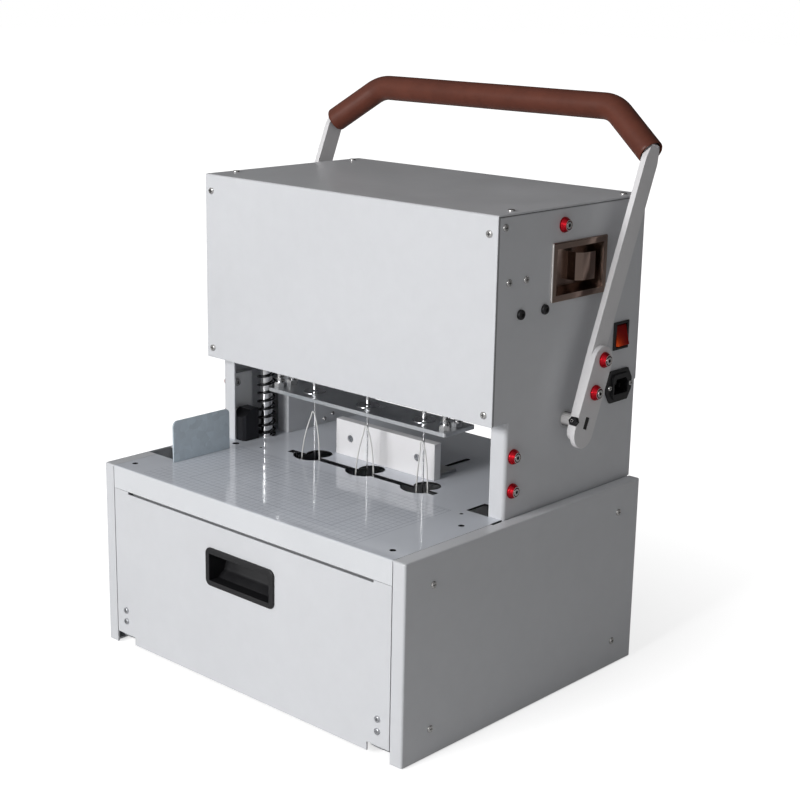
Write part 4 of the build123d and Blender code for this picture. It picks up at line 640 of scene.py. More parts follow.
@dataclass(frozen=True)
class Spangle(Finish):
    """Galvanised sheet: broad zinc crystals of slightly different grey, dull and smooth."""

    name: str = "galvanised_guide"
    colour: Triple = (0.60, 0.68, 0.735)
    crystals: float = 130.0
    cloud: Triple = (60.0, 4.0, 0.7)
    span: tuple[float, float] = (0.2, 0.8)

    def draw(self, g: Graph) -> None:
        """Draw the crystals.

        Args:
            g: the material's graph.
        """
        crystals = g.parts(g.cells(self.crystals, "Color"))[0]
        mottled = g.total(crystals, 0.45, g.noise(*self.cloud), 0.55)
        g.set(Base_Color=g.shades(mottled, self.colour, 0.90, 1.10, self.span), Metallic=0.35,
              Roughness=g.ramp(mottled, *self.span, 0.34, 0.46))
        g.relief(g.noise(300.0, 3.0), 0.00002, 0.25, 0.0003)


@dataclass(frozen=True)
class Plastic(Finish):
    """Moulded plastic or rubber with a fine texture and slight scuffs."""

    colour: Triple
    roughness: float = 0.42
    grain: float = 1800.0
    depth: float = 0.00004
    edge: float = 0.0003
    cloud: Triple = (30.0, 4.0, 0.6)
    scuffs: Triple = (80.0, 5.0, 0.7)

    def draw(self, g: Graph) -> None:
        """Draw the moulding.

        Args:
            g: the material's graph.
        """
        g.set(Base_Color=g.shades(g.noise(*self.cloud), self.colour, 0.85, 1.12, WIDE),
              Roughness=g.ramp(g.noise(*self.scuffs), *WIDE, self.roughness - 0.06, self.roughness + 0.10))
        g.relief(g.cells(self.grain), self.depth, 0.35, self.edge)


@dataclass(frozen=True)
class RockerShell(Finish):
    """Clear red rocker: deep red with a painted glow that turns it orange at its lower front, as if light came
    through.
    """

    name: str = "rocker_red"
    deep: Triple = (0.26, 0.004, 0.003)
    glow: Triple = (1.0, 0.13, 0.02)
    corner: tuple[float, float] = (139.6, 351.5)
    near: float = 2.0
    reach: float = 25.0
    cloud: float = 5.0
    shine: float = 0.30

    def draw(self, g: Graph) -> None:
        """Draw the shell.

        Formula: the painted glow fades with the distance in Y and Z from the lower front corner; the shell also gives
        off painted light in step with it, as if light came through it.

        Args:
            g: the material's graph.
        """
        sides = [g.math("POWER", g.math("SUBTRACT", value, at), 2.0)
                 for value, at in zip(g.place[1:], self.corner)]
        away = g.total(g.math("SQRT", g.math("ADD", *sides)), 1.0, g.noise(160.0, 3.0), self.cloud)
        fade = g.ramp(away, self.near, self.reach, 1.0, 0.0)
        shade = g.math("MULTIPLY", fade, fade)
        # Painted light: the orange glow and its emission imitate light coming through the shell.
        red = g.mix(shade, self.deep, self.glow)
        g.set(Base_Color=red, Emission_Color=red, Emission_Strength=g.math("MULTIPLY", shade, self.shine),
              Roughness=0.34, Specular_IOR_Level=0.10)
        g.relief(g.noise(700.0, 2.0), 0.00001, 0.2, 0.0005)


@dataclass(frozen=True)
class RibbedBelt(Finish):
    """Flat rubber belt with fine ribs along its run."""

    name: str = "ribbed_belt"
    colour: Triple = (0.02, 0.02, 0.021)
    ribs: float = 620.0
    cloud: Triple = (90.0, 4.0, 0.6)

    def draw(self, g: Graph) -> None:
        """Draw the belt.

        Args:
            g: the material's graph.
        """
        ribs = g.add("TexWave", {"Vector": g.body, "Scale": self.ribs / FULL_TURN, "Distortion": 0.0}, "Fac",
                     bands_direction="Z")
        cloud = g.noise(*self.cloud)
        g.set(Base_Color=g.shades(cloud, self.colour, 1.0, 1.7, WIDE),
              Roughness=g.ramp(cloud, *WIDE, 0.55, 0.72))
        g.relief(ribs, 0.0003, 0.6)


@dataclass(frozen=True)
class GripRubber(Finish):
    """Brown grip tube: smooth closed-cell rubber with pores, faint rings and a soft shine.

    The rings field stretches the noise on the grip's own UV map, u along it and v round it.
    """

    name: str = "grip_rubber"
    colour: Triple = (0.130, 0.036, 0.021)
    rings: Triple = (160.0, 2.0, 1.0)
    cloud: Triple = (40.0, 4.0, 0.65)
    pores: float = 1500.0

    def draw(self, g: Graph) -> None:
        """Draw the rubber.

        Args:
            g: the material's graph.
        """
        rings = g.noise(1.0, 3.0, 0.6, g.mapped(self.rings, source=Source.SURFACE))
        g.set(Base_Color=g.shades(g.noise(*self.cloud), self.colour, 0.86, 1.18, WIDE),
              Roughness=g.ramp(rings, *MIDDLE, 0.33, 0.46), Specular_IOR_Level=0.32)
        g.relief(g.total(rings, 0.6, g.cells(self.pores), 0.4), 0.00012, 0.35)


@dataclass(frozen=True)
class Cotton(Finish):
    """White cotton thread: fibres along the twist, soft and matt.

    The fibres field gives the noise's cells along the thread and round it, on the thread's own UV map.
    """

    name: str = "cotton_thread"
    colour: Triple = (0.82, 0.82, 0.80)
    fibres: tuple[float, float] = (60.0, 26.0)
    slant: Triple = (0.0, 0.0, 0.5)

    def draw(self, g: Graph) -> None:
        """Draw the fibres.

        Args:
            g: the material's graph.
        """
        fibres = g.noise(1.0, 3.0, 0.7, g.mapped((*self.fibres, 1.0), self.slant, Source.SURFACE))
        g.set(Base_Color=g.mix(fibres, tint(self.colour, 0.86), self.colour), Roughness=0.85, Sheen_Weight=0.25)
        g.relief(fibres, 0.00008, 0.5)


# Surfaces

def tangents(path: np.ndarray) -> np.ndarray:
    """Unit tangent at each point of a path, from its neighbours on both sides.

    Args:
        path: N by 3 points.

    Returns:
        N by 3 unit vectors.
    """
    steps = np.diff(path, axis=0)
    tangent = np.vstack([steps[:1], steps[:-1] + steps[1:], steps[-1:]])
    return tangent / np.linalg.norm(tangent, axis=1)[:, None]


def lengths(path: np.ndarray) -> np.ndarray:
    """Length along a path at each of its points."""
    return np.concatenate([[0.0], np.cumsum(np.linalg.norm(np.diff(path, axis=0), axis=1))])


def circle(around: int) -> np.ndarray:
    """Even angles once round."""
    return np.linspace(0.0, FULL_TURN, around, endpoint=False)


def rays(first: np.ndarray, second: np.ndarray, around: int) -> np.ndarray:
    """Directions round a path: first cos a + second sin a, at each point and for each angle of a circle."""
    a = circle(around)[None, :, None]
    return first[:, None, :] * np.cos(a) + second[:, None, :] * np.sin(a)


def skin(name: str, rings: np.ndarray, u: np.ndarray, ends: np.ndarray | None = None) -> bpy.types.Object:
    """Closed skin over rings of points.

    Formula: four-cornered faces join each ring to the next. Without ends the last ring joins the first; with them a
    fan closes each end.

    Args:
        name: the piece's name.
        rings: rows by around by 3 places in metres.
        u: one length in metres for each ring, for the UV map, whose v runs 0 to 1 round.
        ends: middle points of the two fans.

    Returns:
        The new object.
    """
    rows, around = rings.shape[:2]
    j = np.arange(around)
    k = (j + 1) % around
    here = np.arange(rows if ends is None else rows - 1)[:, None] * around
    above = (here + around) % (rows * around)
    faces = [np.stack([here + j, here + k, above + k, above + j], axis=-1).reshape(-1, 4)]
    points = rings.reshape(-1, 3)
    uv = np.stack([np.repeat(u, around), np.tile(j / around, rows)], axis=-1)
    if ends is not None:
        points = np.vstack([points, ends])
        uv = np.vstack([uv, [u[0], 0.5], [u[-1], 0.5]])
        first, last = rows * around, (rows - 1) * around
        faces.append(np.stack([np.full(around, first), k, j], axis=-1))
        faces.append(np.stack([np.full(around, first + 1), last + j, last + k], axis=-1))
    return mesh_object(name, points, faces, uv)


def tube(name: str, path: np.ndarray, radius: np.ndarray, around: int) -> bpy.types.Object:
    """Closed tube along a path.

    Formula: point(i, j) = path(i) + radius(i, j) * (n(i) cos a(j) + b(i) sin a(j)), where n and b are a pair of
    normals carried along the path without twist, and a(j) runs once round.

    Args:
        name: the piece's name.
        path: N by 3 points in metres.
        radius: N, or N by around, radii in metres.
        around: points round the section.

    Returns:
        The new object.
    """
    tangent = tangents(path)
    normal = carried_normals(tangent)
    out = rays(normal, np.cross(tangent, normal), around)
    rings = path[:, None, :] + out * np.reshape(radius, (len(path), -1, 1))
    return skin(name, rings, lengths(path), path[[0, -1]])


def carried_normals(tangent: np.ndarray) -> np.ndarray:
    """Normals carried along a path with the least turning.

    Formula: each normal is the one before it, less its part along the new tangent, made unit length again.

    Args:
        tangent: N by 3 unit tangents.

    Returns:
        N by 3 unit normals.
    """
    current = np.array([0.0, 0.0, 1.0]) if abs(tangent[0, 2]) < 0.9 else np.array([1.0, 0.0, 0.0])
    normals = np.empty_like(tangent)
    for index, t in enumerate(tangent):
        current = current - t * float(current @ t)
        current = current / np.linalg.norm(current)
        normals[index] = current
    return normals


def placed(name: str, data: bpy.types.ID) -> bpy.types.Object:
    """Put data into the scene as a new object at the origin.

    Args:
        name: the object's name.
        data: its mesh, curve, lamp or camera.

    Returns:
        The new object.
    """
    made = bpy.data.objects.new(name, data)
    bpy.context.scene.collection.objects.link(made)
    return made


def mesh_object(name: str, points: np.ndarray, faces: list[np.ndarray], uv: np.ndarray) -> bpy.types.Object:
    """Put arrays of points and faces into a smooth mesh.

    Args:
        name: the object's name.
        points: N by 3 places in metres.
        faces: arrays of corner numbers, one array for each number of corners.
        uv: N by 2 texture places, one for each point.

    Returns:
        The new object.
    """
    mesh = bpy.data.meshes.new(name)
    mesh.from_pydata(points.tolist(), [], [f for group in faces for f in group.tolist()])
    layer = mesh.uv_layers.new(name="surface")
    corners = np.empty(len(mesh.loops), dtype=np.int32)
    mesh.loops.foreach_get("vertex_index", corners)
    layer.data.foreach_set("uv", uv[corners].astype(np.float32).ravel())
    mesh.polygons.foreach_set("use_smooth", np.ones(len(mesh.polygons), dtype=bool))
    mesh.update()
    return placed(name, mesh)


def face_outwards(piece: bpy.types.Object) -> None:
    """Turn a closed mesh's faces outwards if its volume comes out negative.

    Formula: the volume is a sixth of the sum, over the faces' triangles, of a . (b x c).

    Args:
        piece: a closed mesh.
    """
    mesh = piece.data
    mesh.calc_loop_triangles()
    corners = np.empty(len(mesh.loop_triangles) * 3, dtype=np.int32)
    mesh.loop_triangles.foreach_get("vertices", corners)
    places = np.empty(len(mesh.vertices) * 3, dtype=np.float32)
    mesh.vertices.foreach_get("co", places)
    triangle = places.reshape(-1, 3)[corners.reshape(-1, 3)].astype(float)
    volume = np.einsum("ij,ij->i", triangle[:, 0], np.cross(triangle[:, 1], triangle[:, 2])).sum()
    if volume < 0.0:
        mesh.flip_normals()


def finish_piece(piece: bpy.types.Object, material: bpy.types.Material, slot: str, *nodes: str) -> None:
    """Give a new piece its material and hide the nodes that it stands for.

    Args:
        piece: the new object.
        material: its finish.
        slot: the record's material slot; not used.
        nodes: nodes that it replaces.
    """
    piece.data.materials.append(material)
    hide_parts(*nodes)
    LOG.info("made %s, %d faces", piece.name, len(piece.data.polygons))


# Every finish of the machine. The lever's black nuts lie 15.8 to 20.95 mm from the pivot along FORWARD.

GREY = (0.70, 0.71, 0.735)
EVEN = (1.0, 1.0, 1.0)
NUT_START = float(PIVOT @ FORWARD) * PER_METRE
FINISHES = (
    PowderCoat("panel_paint", GREY),
    # The frame's paint has a painted seam shade along the covers' edges.
    PowderCoat("frame_paint", GREY, seam=(-53.7, 305.0, 506.5)),
    PowderCoat("lever_paint", (0.86, 0.85, 0.86), 0.38, 0.0003),
    PowderCoat("dull_zinc", (0.62, 0.63, 0.645), 0.36, 0.0002),
    PowderCoat("bracket_zinc", (0.86, 0.87, 0.88), 0.30, 0.0003),
    TableTop(),
    Metal("zinc_plate", (0.52, 0.53, 0.55), 0.32, EVEN, 300.0),
    Metal("ground_steel", (0.66, 0.66, 0.67), 0.16, (1.0, 1.0, 0.08), 1400.0, 0.00001, 0.0001),
    Metal("screw_steel", (0.50, 0.49, 0.48), 0.24, EVEN, 900.0, 0.00001, 0.00015),
    Metal("spring_wire", (0.035, 0.035, 0.038), 0.34, EVEN, 700.0, 0.00001, 0.0),
    Metal("blackened_steel", (0.045, 0.045, 0.05), 0.34, EVEN, 500.0),
    Metal("press_plate_steel", (0.74, 0.76, 0.78), 0.30, (0.05, 1.0, 1.0), 1200.0, 0.00001),
    Metal("milled_aluminium", (0.74, 0.75, 0.76), 0.34, (0.05, 1.0, 1.0), 1300.0),
    Metal("turned_brass", (0.62, 0.43, 0.17), 0.26, (1.0, 1.0, 0.1), 1200.0),
    # The pockets' front rim carries a painted highlight.
    PocketSteel("tinted_stainless", (0.30, 0.22, 0.185), 0.18, (0.04, 0.04, 1.0), 1500.0),
    BrightScrews("frame_screw_steel", (0.66, 0.65, 0.64)),
    BrightScrews("lever_hardware", (0.66, 0.65, 0.64), edge=0.00025, black=(0.014, 0.014, 0.016), matt=0.8,
                 direction=tuple(FORWARD), span=(NUT_START + 15.8, NUT_START + 20.95)),
    Collar("red_anodised", (0.62, 0.016, 0.028), 0.86, 0.20, grain=700.0, octaves=(3.0, 0.6), edge=0.00025,
           black=(0.004, 0.003, 0.003)),
    ShaftSteel("shaft_steel", (0.95, 0.93, 0.92), 0.88, 0.24, grain=1100.0, streak=(0.05, 1.0, 1.0),
               black=(0.012, 0.011, 0.011)),
    Spangle(),
    Plastic("black_moulding", (0.009, 0.009, 0.0105), 0.44),
    Plastic("black_rubber", (0.018, 0.018, 0.019), 0.62),
    Plastic("white_moulding", (0.74, 0.74, 0.72), 0.40),
    RockerShell(),
    RibbedBelt(),
    GripRubber(),
    Cotton(),
    Cotton("wound_cotton", (0.80, 0.80, 0.78), (900.0, 40.0)),
)


# Sub-assemblies

@dataclass
class SubAssembly:
    """Parts that belong together; nodes lists the carried-over ones under the name of their finish."""

    finishes: dict[str, bpy.types.Material]
    nodes: ClassVar[dict[str, tuple[str, ...]]] = {}

    def build(self) -> None:
        """Give each node its finish, then make the sub-assembly's own pieces."""
        for finish, nodes in self.nodes.items():
            for node in nodes:
                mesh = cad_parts[node].data
                mesh.materials.clear()
                mesh.materials.append(self.finishes[finish])
                LOG.info("finished %s in %s", node, finish)
        self.make()

    def make(self) -> None:
        """Make new pieces; plain sub-assemblies have none."""


class Base(SubAssembly):
    """Box that the machine stands on: sides, floor, rear, printed table and what stands inside."""

    nodes = {
        "panel_paint": ("base_side_left", "base_side_right", "base_rear"),
        "table_top": ("table_panel",),
        "zinc_plate": ("base_floor", "chip_tray"),
        "blackened_steel": ("power_supply",),
        "black_rubber": ("rubber_feet",),
        "ground_steel": ("spacers",),
        "frame_screw_steel": ("frame_screws",),
    }


class Door(SubAssembly):
    """Front door with its flush pull and its hinges."""

    nodes = {
        "panel_paint": ("front_door",),
        "black_moulding": ("door_pull",),
        "zinc_plate": ("door_hinges", "door_hinge_brackets"),
    }


class Housing(SubAssembly):
    """Frame plates, covers, liners and what is fitted on the plates."""

    nodes = {
        "frame_paint": ("frame_plate_left", "frame_plate_right"),
        "panel_paint": ("column_liners", "front_cover", "rear_cover"),
        "bracket_zinc": ("inner_brackets",),
        "tinted_stainless": ("recess_handles",),
        "black_moulding": ("rocker_housing", "power_inlet", "black_caps"),
        "rocker_red": ("rocker",),
        "red_anodised": ("frame_collars",),
        "blackened_steel": ("column_blocks",),
        "dull_zinc": ("shaft_bearings",),
    }


class Lever(SubAssembly):
    """Lever arms on their shaft, their fasteners and the toothed sectors."""

    nodes = {
        "shaft_steel": ("pivot_shaft",),
        "lever_paint": ("lever_arms",),
        "red_anodised": ("hub_collars",),
        "lever_hardware": ("hub_screws",),
        "blackened_steel": ("sector_pinions",),
    }


class DrillHead(SubAssembly):
    """Head plate with racks, bushes, motor, belt, spindles and the press plate below it."""

    nodes = {
        "milled_aluminium": ("drill_head",),
        "turned_brass": ("head_bushes",),
        "ribbed_belt": ("drive_belt",),
        "blackened_steel": ("motor_body",),
        "ground_steel": ("motor_rotor", "spindle_left", "spindle_middle", "spindle_right", "press_posts",
                         "guide_columns"),
        "press_plate_steel": ("press_plate",),
    }


class NeedleGear(SubAssembly):
    """Needle bar, needles and the thread guide under the table."""

    nodes = {
        "milled_aluminium": ("needle_bar",),
        "ground_steel": ("needles",),
        "blackened_steel": ("thread_guide_bar",),
        "zinc_plate": ("spool_stand",),
    }


class PaperGuides(SubAssembly):
    """Backstop behind the paper and the side guide at its left."""

    nodes = {
        "lever_paint": ("backstop",),
        "zinc_plate": ("backstop_carriage",),
        "galvanised_guide": ("side_guide",),
        "blackened_steel": ("guide_carriage",),
        "ground_steel": ("guide_rod",),
    }


@dataclass
class ThreadSpools(SubAssembly):
    """Three white spools on one rod, each wound with layers of thread; sizes in millimetres."""

    half: float = 24.0
    cheek: float = 2.0
    radius: float = 25.9
    core: float = 9.2
    hub: float = 11.0
    fillet: float = 0.6
    bore: float = 4.1
    wound: float = 20.6
    pitch: float = 1.5
    ridge: float = 0.30
    swell: float = 0.12
    swell_pitch: float = 11.0
    sag: float = 0.9
    side_gap: float = 0.15
    core_gap: float = 0.1

    def ring(self, name: str, x: float, outline: np.ndarray, around: int) -> bpy.types.Object:
        """Body of revolution about the rod.

        Formula: point(i, j) = (x + p(i), y0 + r(i, j) cos a(j), z0 + r(i, j) sin a(j)); the outline closes on itself.

        Args:
            name: the piece's name.
            x: its middle along the rod.
            outline: N by (1 + around) or N by 2 values, place along the rod and radius.
            around: points round it.

        Returns:
            The piece.
        """
        angle = circle(around)
        radius = np.broadcast_to(outline[:, 1:], (len(outline), around))
        along = np.broadcast_to(outline[:, :1] + x, radius.shape)
        points = np.stack([along, ROD[0] + radius * np.cos(angle), ROD[1] + radius * np.sin(angle)], axis=-1) * MM
        piece = skin(name, points, along[:, 0] * MM)
        face_outwards(piece)
        return piece

    def spool_outline(self) -> np.ndarray:
        """Section of a spool: bore, then a rounded cheek, the core and the other cheek.

        Returns:
            N by 2 values for ring.
        """
        rim, inner = self.cheek / 2.0, self.half - self.cheek
        turn = np.linspace(0.0, math.pi, 9)
        roll = np.stack([-rim * np.cos(turn), self.radius - rim + rim * np.sin(turn)], axis=-1)
        return np.vstack([
            [-self.half, self.bore], [-self.half, self.hub], roll + [-self.half + rim, 0.0],
            [-inner, self.core + self.fillet], [-inner + self.fillet, self.core],
            [inner - self.fillet, self.core], [inner, self.core + self.fillet],
            roll + [self.half - rim, 0.0], [self.half, self.hub], [self.half, self.bore],
        ])

    def winding_outline(self, around: int) -> np.ndarray:
        """Section of the thread on a spool, which changes round it as the turns cross.

        Formula: the outer radius at place p and angle a is wound + ridge |cos(pi (p / pitch - a / 2 pi))| +
        swell cos(2 pi p / swell_pitch + 2 a) - sag (p / half)^8; the inner one is just above the core.

        Args:
            around: angles round the rod.

        Returns:
            N by (1 + around) values for ring.
        """
        half = self.half - self.cheek - self.side_gap
        p = np.linspace(-half, half, 420)[:, None]
        a = circle(around)
        turns = np.abs(np.cos(math.pi * (p / self.pitch - a / FULL_TURN)))
        slow = self.swell * np.cos(FULL_TURN * p / self.swell_pitch + 2.0 * a)
        outer = self.wound + self.ridge * turns + slow - self.sag * np.power(p / half, 8)
        low = np.full((1, around), self.core + self.core_gap)
        return np.vstack([np.hstack([[[-half]], low]), np.hstack([p, outer]), np.hstack([[[half]], low])])

    def make(self) -> None:
        """Make the spools and their windings."""
        for name, x in HOLES_X.items():
            spool = self.ring("spool_" + name, x, self.spool_outline(), 96)
            finish_piece(spool, self.finishes["white_moulding"], "spool_white", "thread_spools")
            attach(spool, "thread_spools")
            wound = self.ring("wound_thread_" + name, x, self.winding_outline(72), 72)
            finish_piece(wound, self.finishes["wound_cotton"], "white_thread", "thread_spools")
            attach(wound, "thread_spools")


@dataclass(frozen=True)
class Coil:
    """Sizes of one kind of spring in metres: wire and coil radius, turns, lowest and highest Z."""

    wire: float
    radius: float
    turns: int
    span: tuple[float, float]


@dataclass
class CompressionSprings(SubAssembly):
    """Coil springs on the guide columns and on the press plate's posts."""

    column_x: float = 176.0 * MM
    column_y: float = 6.2 * MM
    column: Coil = Coil(1.1 * MM, 9.6 * MM, 20, (206.3 * MM, 389.7 * MM))
    post_x: float = 120.5 * MM
    posts_y: tuple[float, float] = (-24.8 * MM, -5.8 * MM)
    post: Coil = Coil(0.7 * MM, 4.6 * MM, 11, (285.7 * MM, 395.7 * MM))
    closed_pitch: float = 0.30
    closed_turns: float = 0.35
    easing: float = 0.9
    steps: int = 28
    around: int = 10

    def spring(self, name: str, x: float, y: float, coil: Coil) -> bpy.types.Object:
        """One spring with a nearly closed turn at each end.

        Formula: the wire's centre is (r cos a, r sin a, z), a runs to 2 pi times the turns, and z rises by the
        integral of a pitch that is closed_pitch over the closed turns and eases to 1 over the easing turns.

        Args:
            name: the piece's name.
            x: X of its axis.
            y: Y of its axis.
            coil: its sizes.

        Returns:
            The spring.
        """
        a = np.linspace(0.0, FULL_TURN * coil.turns, coil.turns * self.steps + 1)
        t = a / FULL_TURN
        eased = np.clip((np.minimum(t, coil.turns - t) - self.closed_turns) / self.easing, 0.0, 1.0)
        pitch = self.closed_pitch + (1.0 - self.closed_pitch) * eased
        rise = np.concatenate([[0.0], np.cumsum((pitch[1:] + pitch[:-1]) / 2.0)])
        low, high = coil.span[0] + coil.wire, coil.span[1] - coil.wire
        z = low + (high - low) * rise / rise[-1]
        path = np.stack([x + coil.radius * np.cos(a), y + coil.radius * np.sin(a), z], axis=-1)
        return tube(name, path, np.full(len(path), coil.wire), self.around)

    def make(self) -> None:
        """Make all six springs, each between the two bodies that it pushes on."""
        for side in Side:
            word = side.name.lower()
            piece = self.spring("column_spring_" + word, side.value * self.column_x, self.column_y, self.column)
            finish_piece(piece, self.finishes["spring_wire"], "spring_steel", "column_springs")
            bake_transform(piece)
            for index, y in enumerate(self.posts_y):
                piece = self.spring("post_spring_%s_%d" % (word, index + 1), side.value * self.post_x, y, self.post)
                finish_piece(piece, self.finishes["screw_steel"], "spring_steel", "post_springs")
                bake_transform(piece)


@dataclass
class BindingThreads(SubAssembly):
    """Three cotton threads from their spools through the guide bar and over the needles' hooks.

    Places are in millimetres, other sizes in metres: the thread's radius, the cut length of each (not used), the
    heights that its bend runs between (not used), and the pitch of its plies, whose grooves are a share of the
    radius. The legs field gives each thread's left and right leg, as X and Y from its needle.
    """

    radius: float = 0.75 * MM
    cut: tuple[float, float, float] = (299.6 * MM, 298.3 * MM, 304.3 * MM)
    legs: tuple[tuple[float, float, float, float], ...] = (
        (-16.0, -5.0, 9.0, -1.0),
        (-12.0, -6.0, 10.0, 0.0),
        (-11.0, 2.0, 9.0, -2.0),
    )
    hole_y: float = -10.8
    hook_z: float = 257.0
    bar_z: tuple[float, float] = (180.0, 188.0)
    blend_z: tuple[float, float] = (0.095, 0.2575)
    ply_pitch: float = 5.0 * MM
    groove: float = 0.10
    around: int = 18

    def route(self, x: float, leg: tuple[float, float, float, float]) -> list[Triple]:
        """Points of one thread's route, in millimetres.

        Args:
            x: X of its hole.
            leg: its row of legs.

        Returns:
            The points, from the spool to the end under the guide bar.
        """
        lx, ly, rx, ry = leg
        y, top = self.hole_y, self.hook_z
        low, high = self.bar_z
        sy, sz = ROD
        return [
            (x + lx, sy - 12.4, sz + 18.1),
            (x + lx, sy + 31.0, sz + 46.6),
            (x + lx, sy + 67.0, sz + 72.4),
            (x + lx + 0.2, y + ly - 0.6, low - 6.0),
            (x + lx, y + ly, high + 3.0),
            (x + lx * 0.86, y + ly * 0.85, top - 40.0),
            (x + lx * 0.54, y + ly * 0.55 - 0.9, top - 21.0),
            (x + lx * 0.28, y + ly * 0.2 - 1.8, top - 10.0),
            (x - 2.5, y - 2.3, top - 4.0),
            (x - 1.2, y - 2.7, top - 0.6),
            (x + 1.3, y - 2.7, top - 0.6),
            (x + 2.6, y - 2.3, top - 4.0),
            (x + rx * 0.46, y + ry * 0.2 - 1.7, top - 10.0),
            (x + rx * 0.70, y + ry * 0.55 - 0.8, top - 21.0),
            (x + rx * 0.90, y + ry * 0.9, top - 40.0),
            (x + rx, y + ry, high + 3.0),
            (x + rx + 0.3, y + ry + 0.4, low - 10.0),
        ]

    def centreline(self, points: list[Triple]) -> np.ndarray:
        """Smooth line that a thread follows.

        Formula: a NURBS spline of order 3 that starts and ends on the first and last of its control points.

        Args:
            points: control points in millimetres.

        Returns:
            N by 3 places in metres, read from the spline.
        """
        curve = bpy.data.curves.new("thread_route", "CURVE")
        curve.dimensions = "3D"
        spline = curve.splines.new("NURBS")
        spline.points.add(len(points) - 1)
        flat = np.hstack([np.array(points) * MM, np.ones((len(points), 1))])
        spline.points.foreach_set("co", flat.astype(np.float32).ravel())
        spline.order_u = 3
        spline.use_endpoint_u = True
        spline.resolution_u = 26
        holder = placed("thread_route", curve)
        bpy.context.view_layer.update()
        mesh = bpy.data.meshes.new_from_object(holder)
        line = np.empty(len(mesh.vertices) * 3, dtype=np.float32)
        mesh.vertices.foreach_get("co", line)
        bpy.data.objects.remove(holder)
        bpy.data.curves.remove(curve)
        bpy.data.meshes.remove(mesh)
        return line.reshape(-1, 3).astype(float)

    def make(self) -> None:
        """Make the three threads as twisted three-ply tubes.

        Formula: the radius at angle v and length s is R (1 - groove + groove |cos 1.5 (v - 2 pi s / pitch)|).
        """
        for (name, x), leg, length in zip(HOLES_X.items(), self.legs, self.cut):
            points = self.route(x, leg)
            line = self.centreline(points)
            twist = circle(self.around) - FULL_TURN * lengths(line)[:, None] / self.ply_pitch
            radius = self.radius * (1.0 - self.groove + self.groove * np.abs(np.cos(1.5 * twist)))
            piece = tube("binding_thread_" + name, line, radius, self.around)
            finish_piece(piece, self.finishes["cotton_thread"], "white_thread", "thread_" + name)
            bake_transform(piece)


@dataclass
class GripSleeve(SubAssembly):
    """Brown rubber tube pushed over the lever's bent bar, open at both ends; sizes in millimetres."""

    end_up: float = 279.4
    bend_up: float = 323.8
    bend_x: float = 164.0
    end_x: float = 223.0
    bend_radius: float = 38.0
    outer: float = 13.86
    inner: float = 11.7
    forward: float = 5.0
    lip: float = 2.6
    wrinkle: float = 0.10
    wrinkle_rate: float = 1.7
    crease: tuple[float, float] = (156.0, 16.0)
    swell: float = 0.05
    swell_rate: tuple[float, float] = (0.045, 0.6)
    around: int = 64

    def path(self) -> tuple[np.ndarray, np.ndarray]:
        """Centreline in the lever's plane.

        Formula: straight, arc, straight, arc, straight; each arc is centred on the corner's bisector and touches
        both of its runs. The lengths are divided evenly over the whole line.

        Returns:
            X and height up the lever at even steps.
        """
        slope = math.atan2(self.bend_up - self.end_up, self.end_x - self.bend_x)
        reach = self.bend_radius * math.tan(slope / 2.0)
        turn = np.linspace(slope, 0.0, 40)
        arc_x = -self.bend_x + reach - self.bend_radius * np.sin(turn)
        arc_up = self.bend_up - self.bend_radius + self.bend_radius * np.cos(turn)
        half = np.stack([np.concatenate([[-self.end_x], arc_x, [0.0]]),
                         np.concatenate([[self.end_up], arc_up, [self.bend_up]])], axis=-1)
        line = np.vstack([half, half[-2::-1] * (-1.0, 1.0)])
        run = lengths(line)
        even = np.linspace(0.0, run[-1], 420)
        return np.interp(even, run, line[:, 0]), np.interp(even, run, line[:, 1])

    def make(self) -> None:
        """Make the sleeve.

        Formula: the lever's point is pivot + x X + up (0, sin lean, cos lean) + forward (0, -cos lean, sin lean). A
        closed profile (outer wall with slow waves, rounded lip, inner wall, rounded lip) is carried along the
        centreline; the outer radius is less by a small swell, a cosine of the length, and by a fine wrinkle, a sine
        of the length, on the inside of each bend. The wrinkles die out from the crease's X over its reach.
        """
        x, up = self.path()
        flat = np.stack([x, up, np.full(len(x), self.forward)], axis=-1) * MM
        centre = PIVOT + flat @ np.array([(1.0, 0.0, 0.0), UP_LEVER, FORWARD])
        run = lengths(centre) / MM
        near_end = np.minimum(run, run[-1] - run)
        lip = np.sqrt(np.clip(1.0 - np.square(np.clip(1.0 - near_end / self.lip, 0.0, 1.0)), 0.0, 1.0))
        bend = np.exp(-np.square((np.abs(x) - self.crease[0]) / self.crease[1]))
        inside = np.clip(-np.sin(circle(self.around)), 0.0, 1.0)
        wrinkle = self.wrinkle * bend[:, None] * inside * (0.5 + 0.5 * np.sin(run[:, None] * self.wrinkle_rate))
        slow = self.swell * (1.0 - np.cos(run * self.swell_rate[0] + self.swell_rate[1]))
        middle, wall = (self.outer + self.inner) / 2.0, (self.outer - self.inner) / 2.0
        outer = (middle + wall * lip - slow)[:, None] - wrinkle
        inner = np.broadcast_to((middle - wall * lip)[:, None], outer.shape)
        side = np.broadcast_to(FORWARD, centre.shape)
        out = rays(side, np.cross(tangents(centre), side), self.around)
        skins = [centre[:, None, :] + out * radius[:, :, None] * MM for radius in (outer, inner)]
        u = np.concatenate([run, run[::-1] + run[-1]]) * MM
        piece = skin("grip_tube", np.concatenate([skins[0], skins[1][::-1]]), u)
        face_outwards(piece)
        finish_piece(piece, self.finishes["grip_rubber"], "brown_grip", "grip_sleeve")
        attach(piece, "handle")


# Studio

def stand(thing: bpy.types.Object, axes: tuple[np.ndarray, ...], place: Triple) -> None:
    """Stand a camera or a lamp at a place.

    Args:
        thing: the object.
        axes: directions of its own X, Y and Z.
        place: where it stands.
    """
    matrix = np.eye(4)
    matrix[:3] = np.stack([*axes, place], axis=-1)
    thing.matrix_world = Matrix(matrix.tolist())


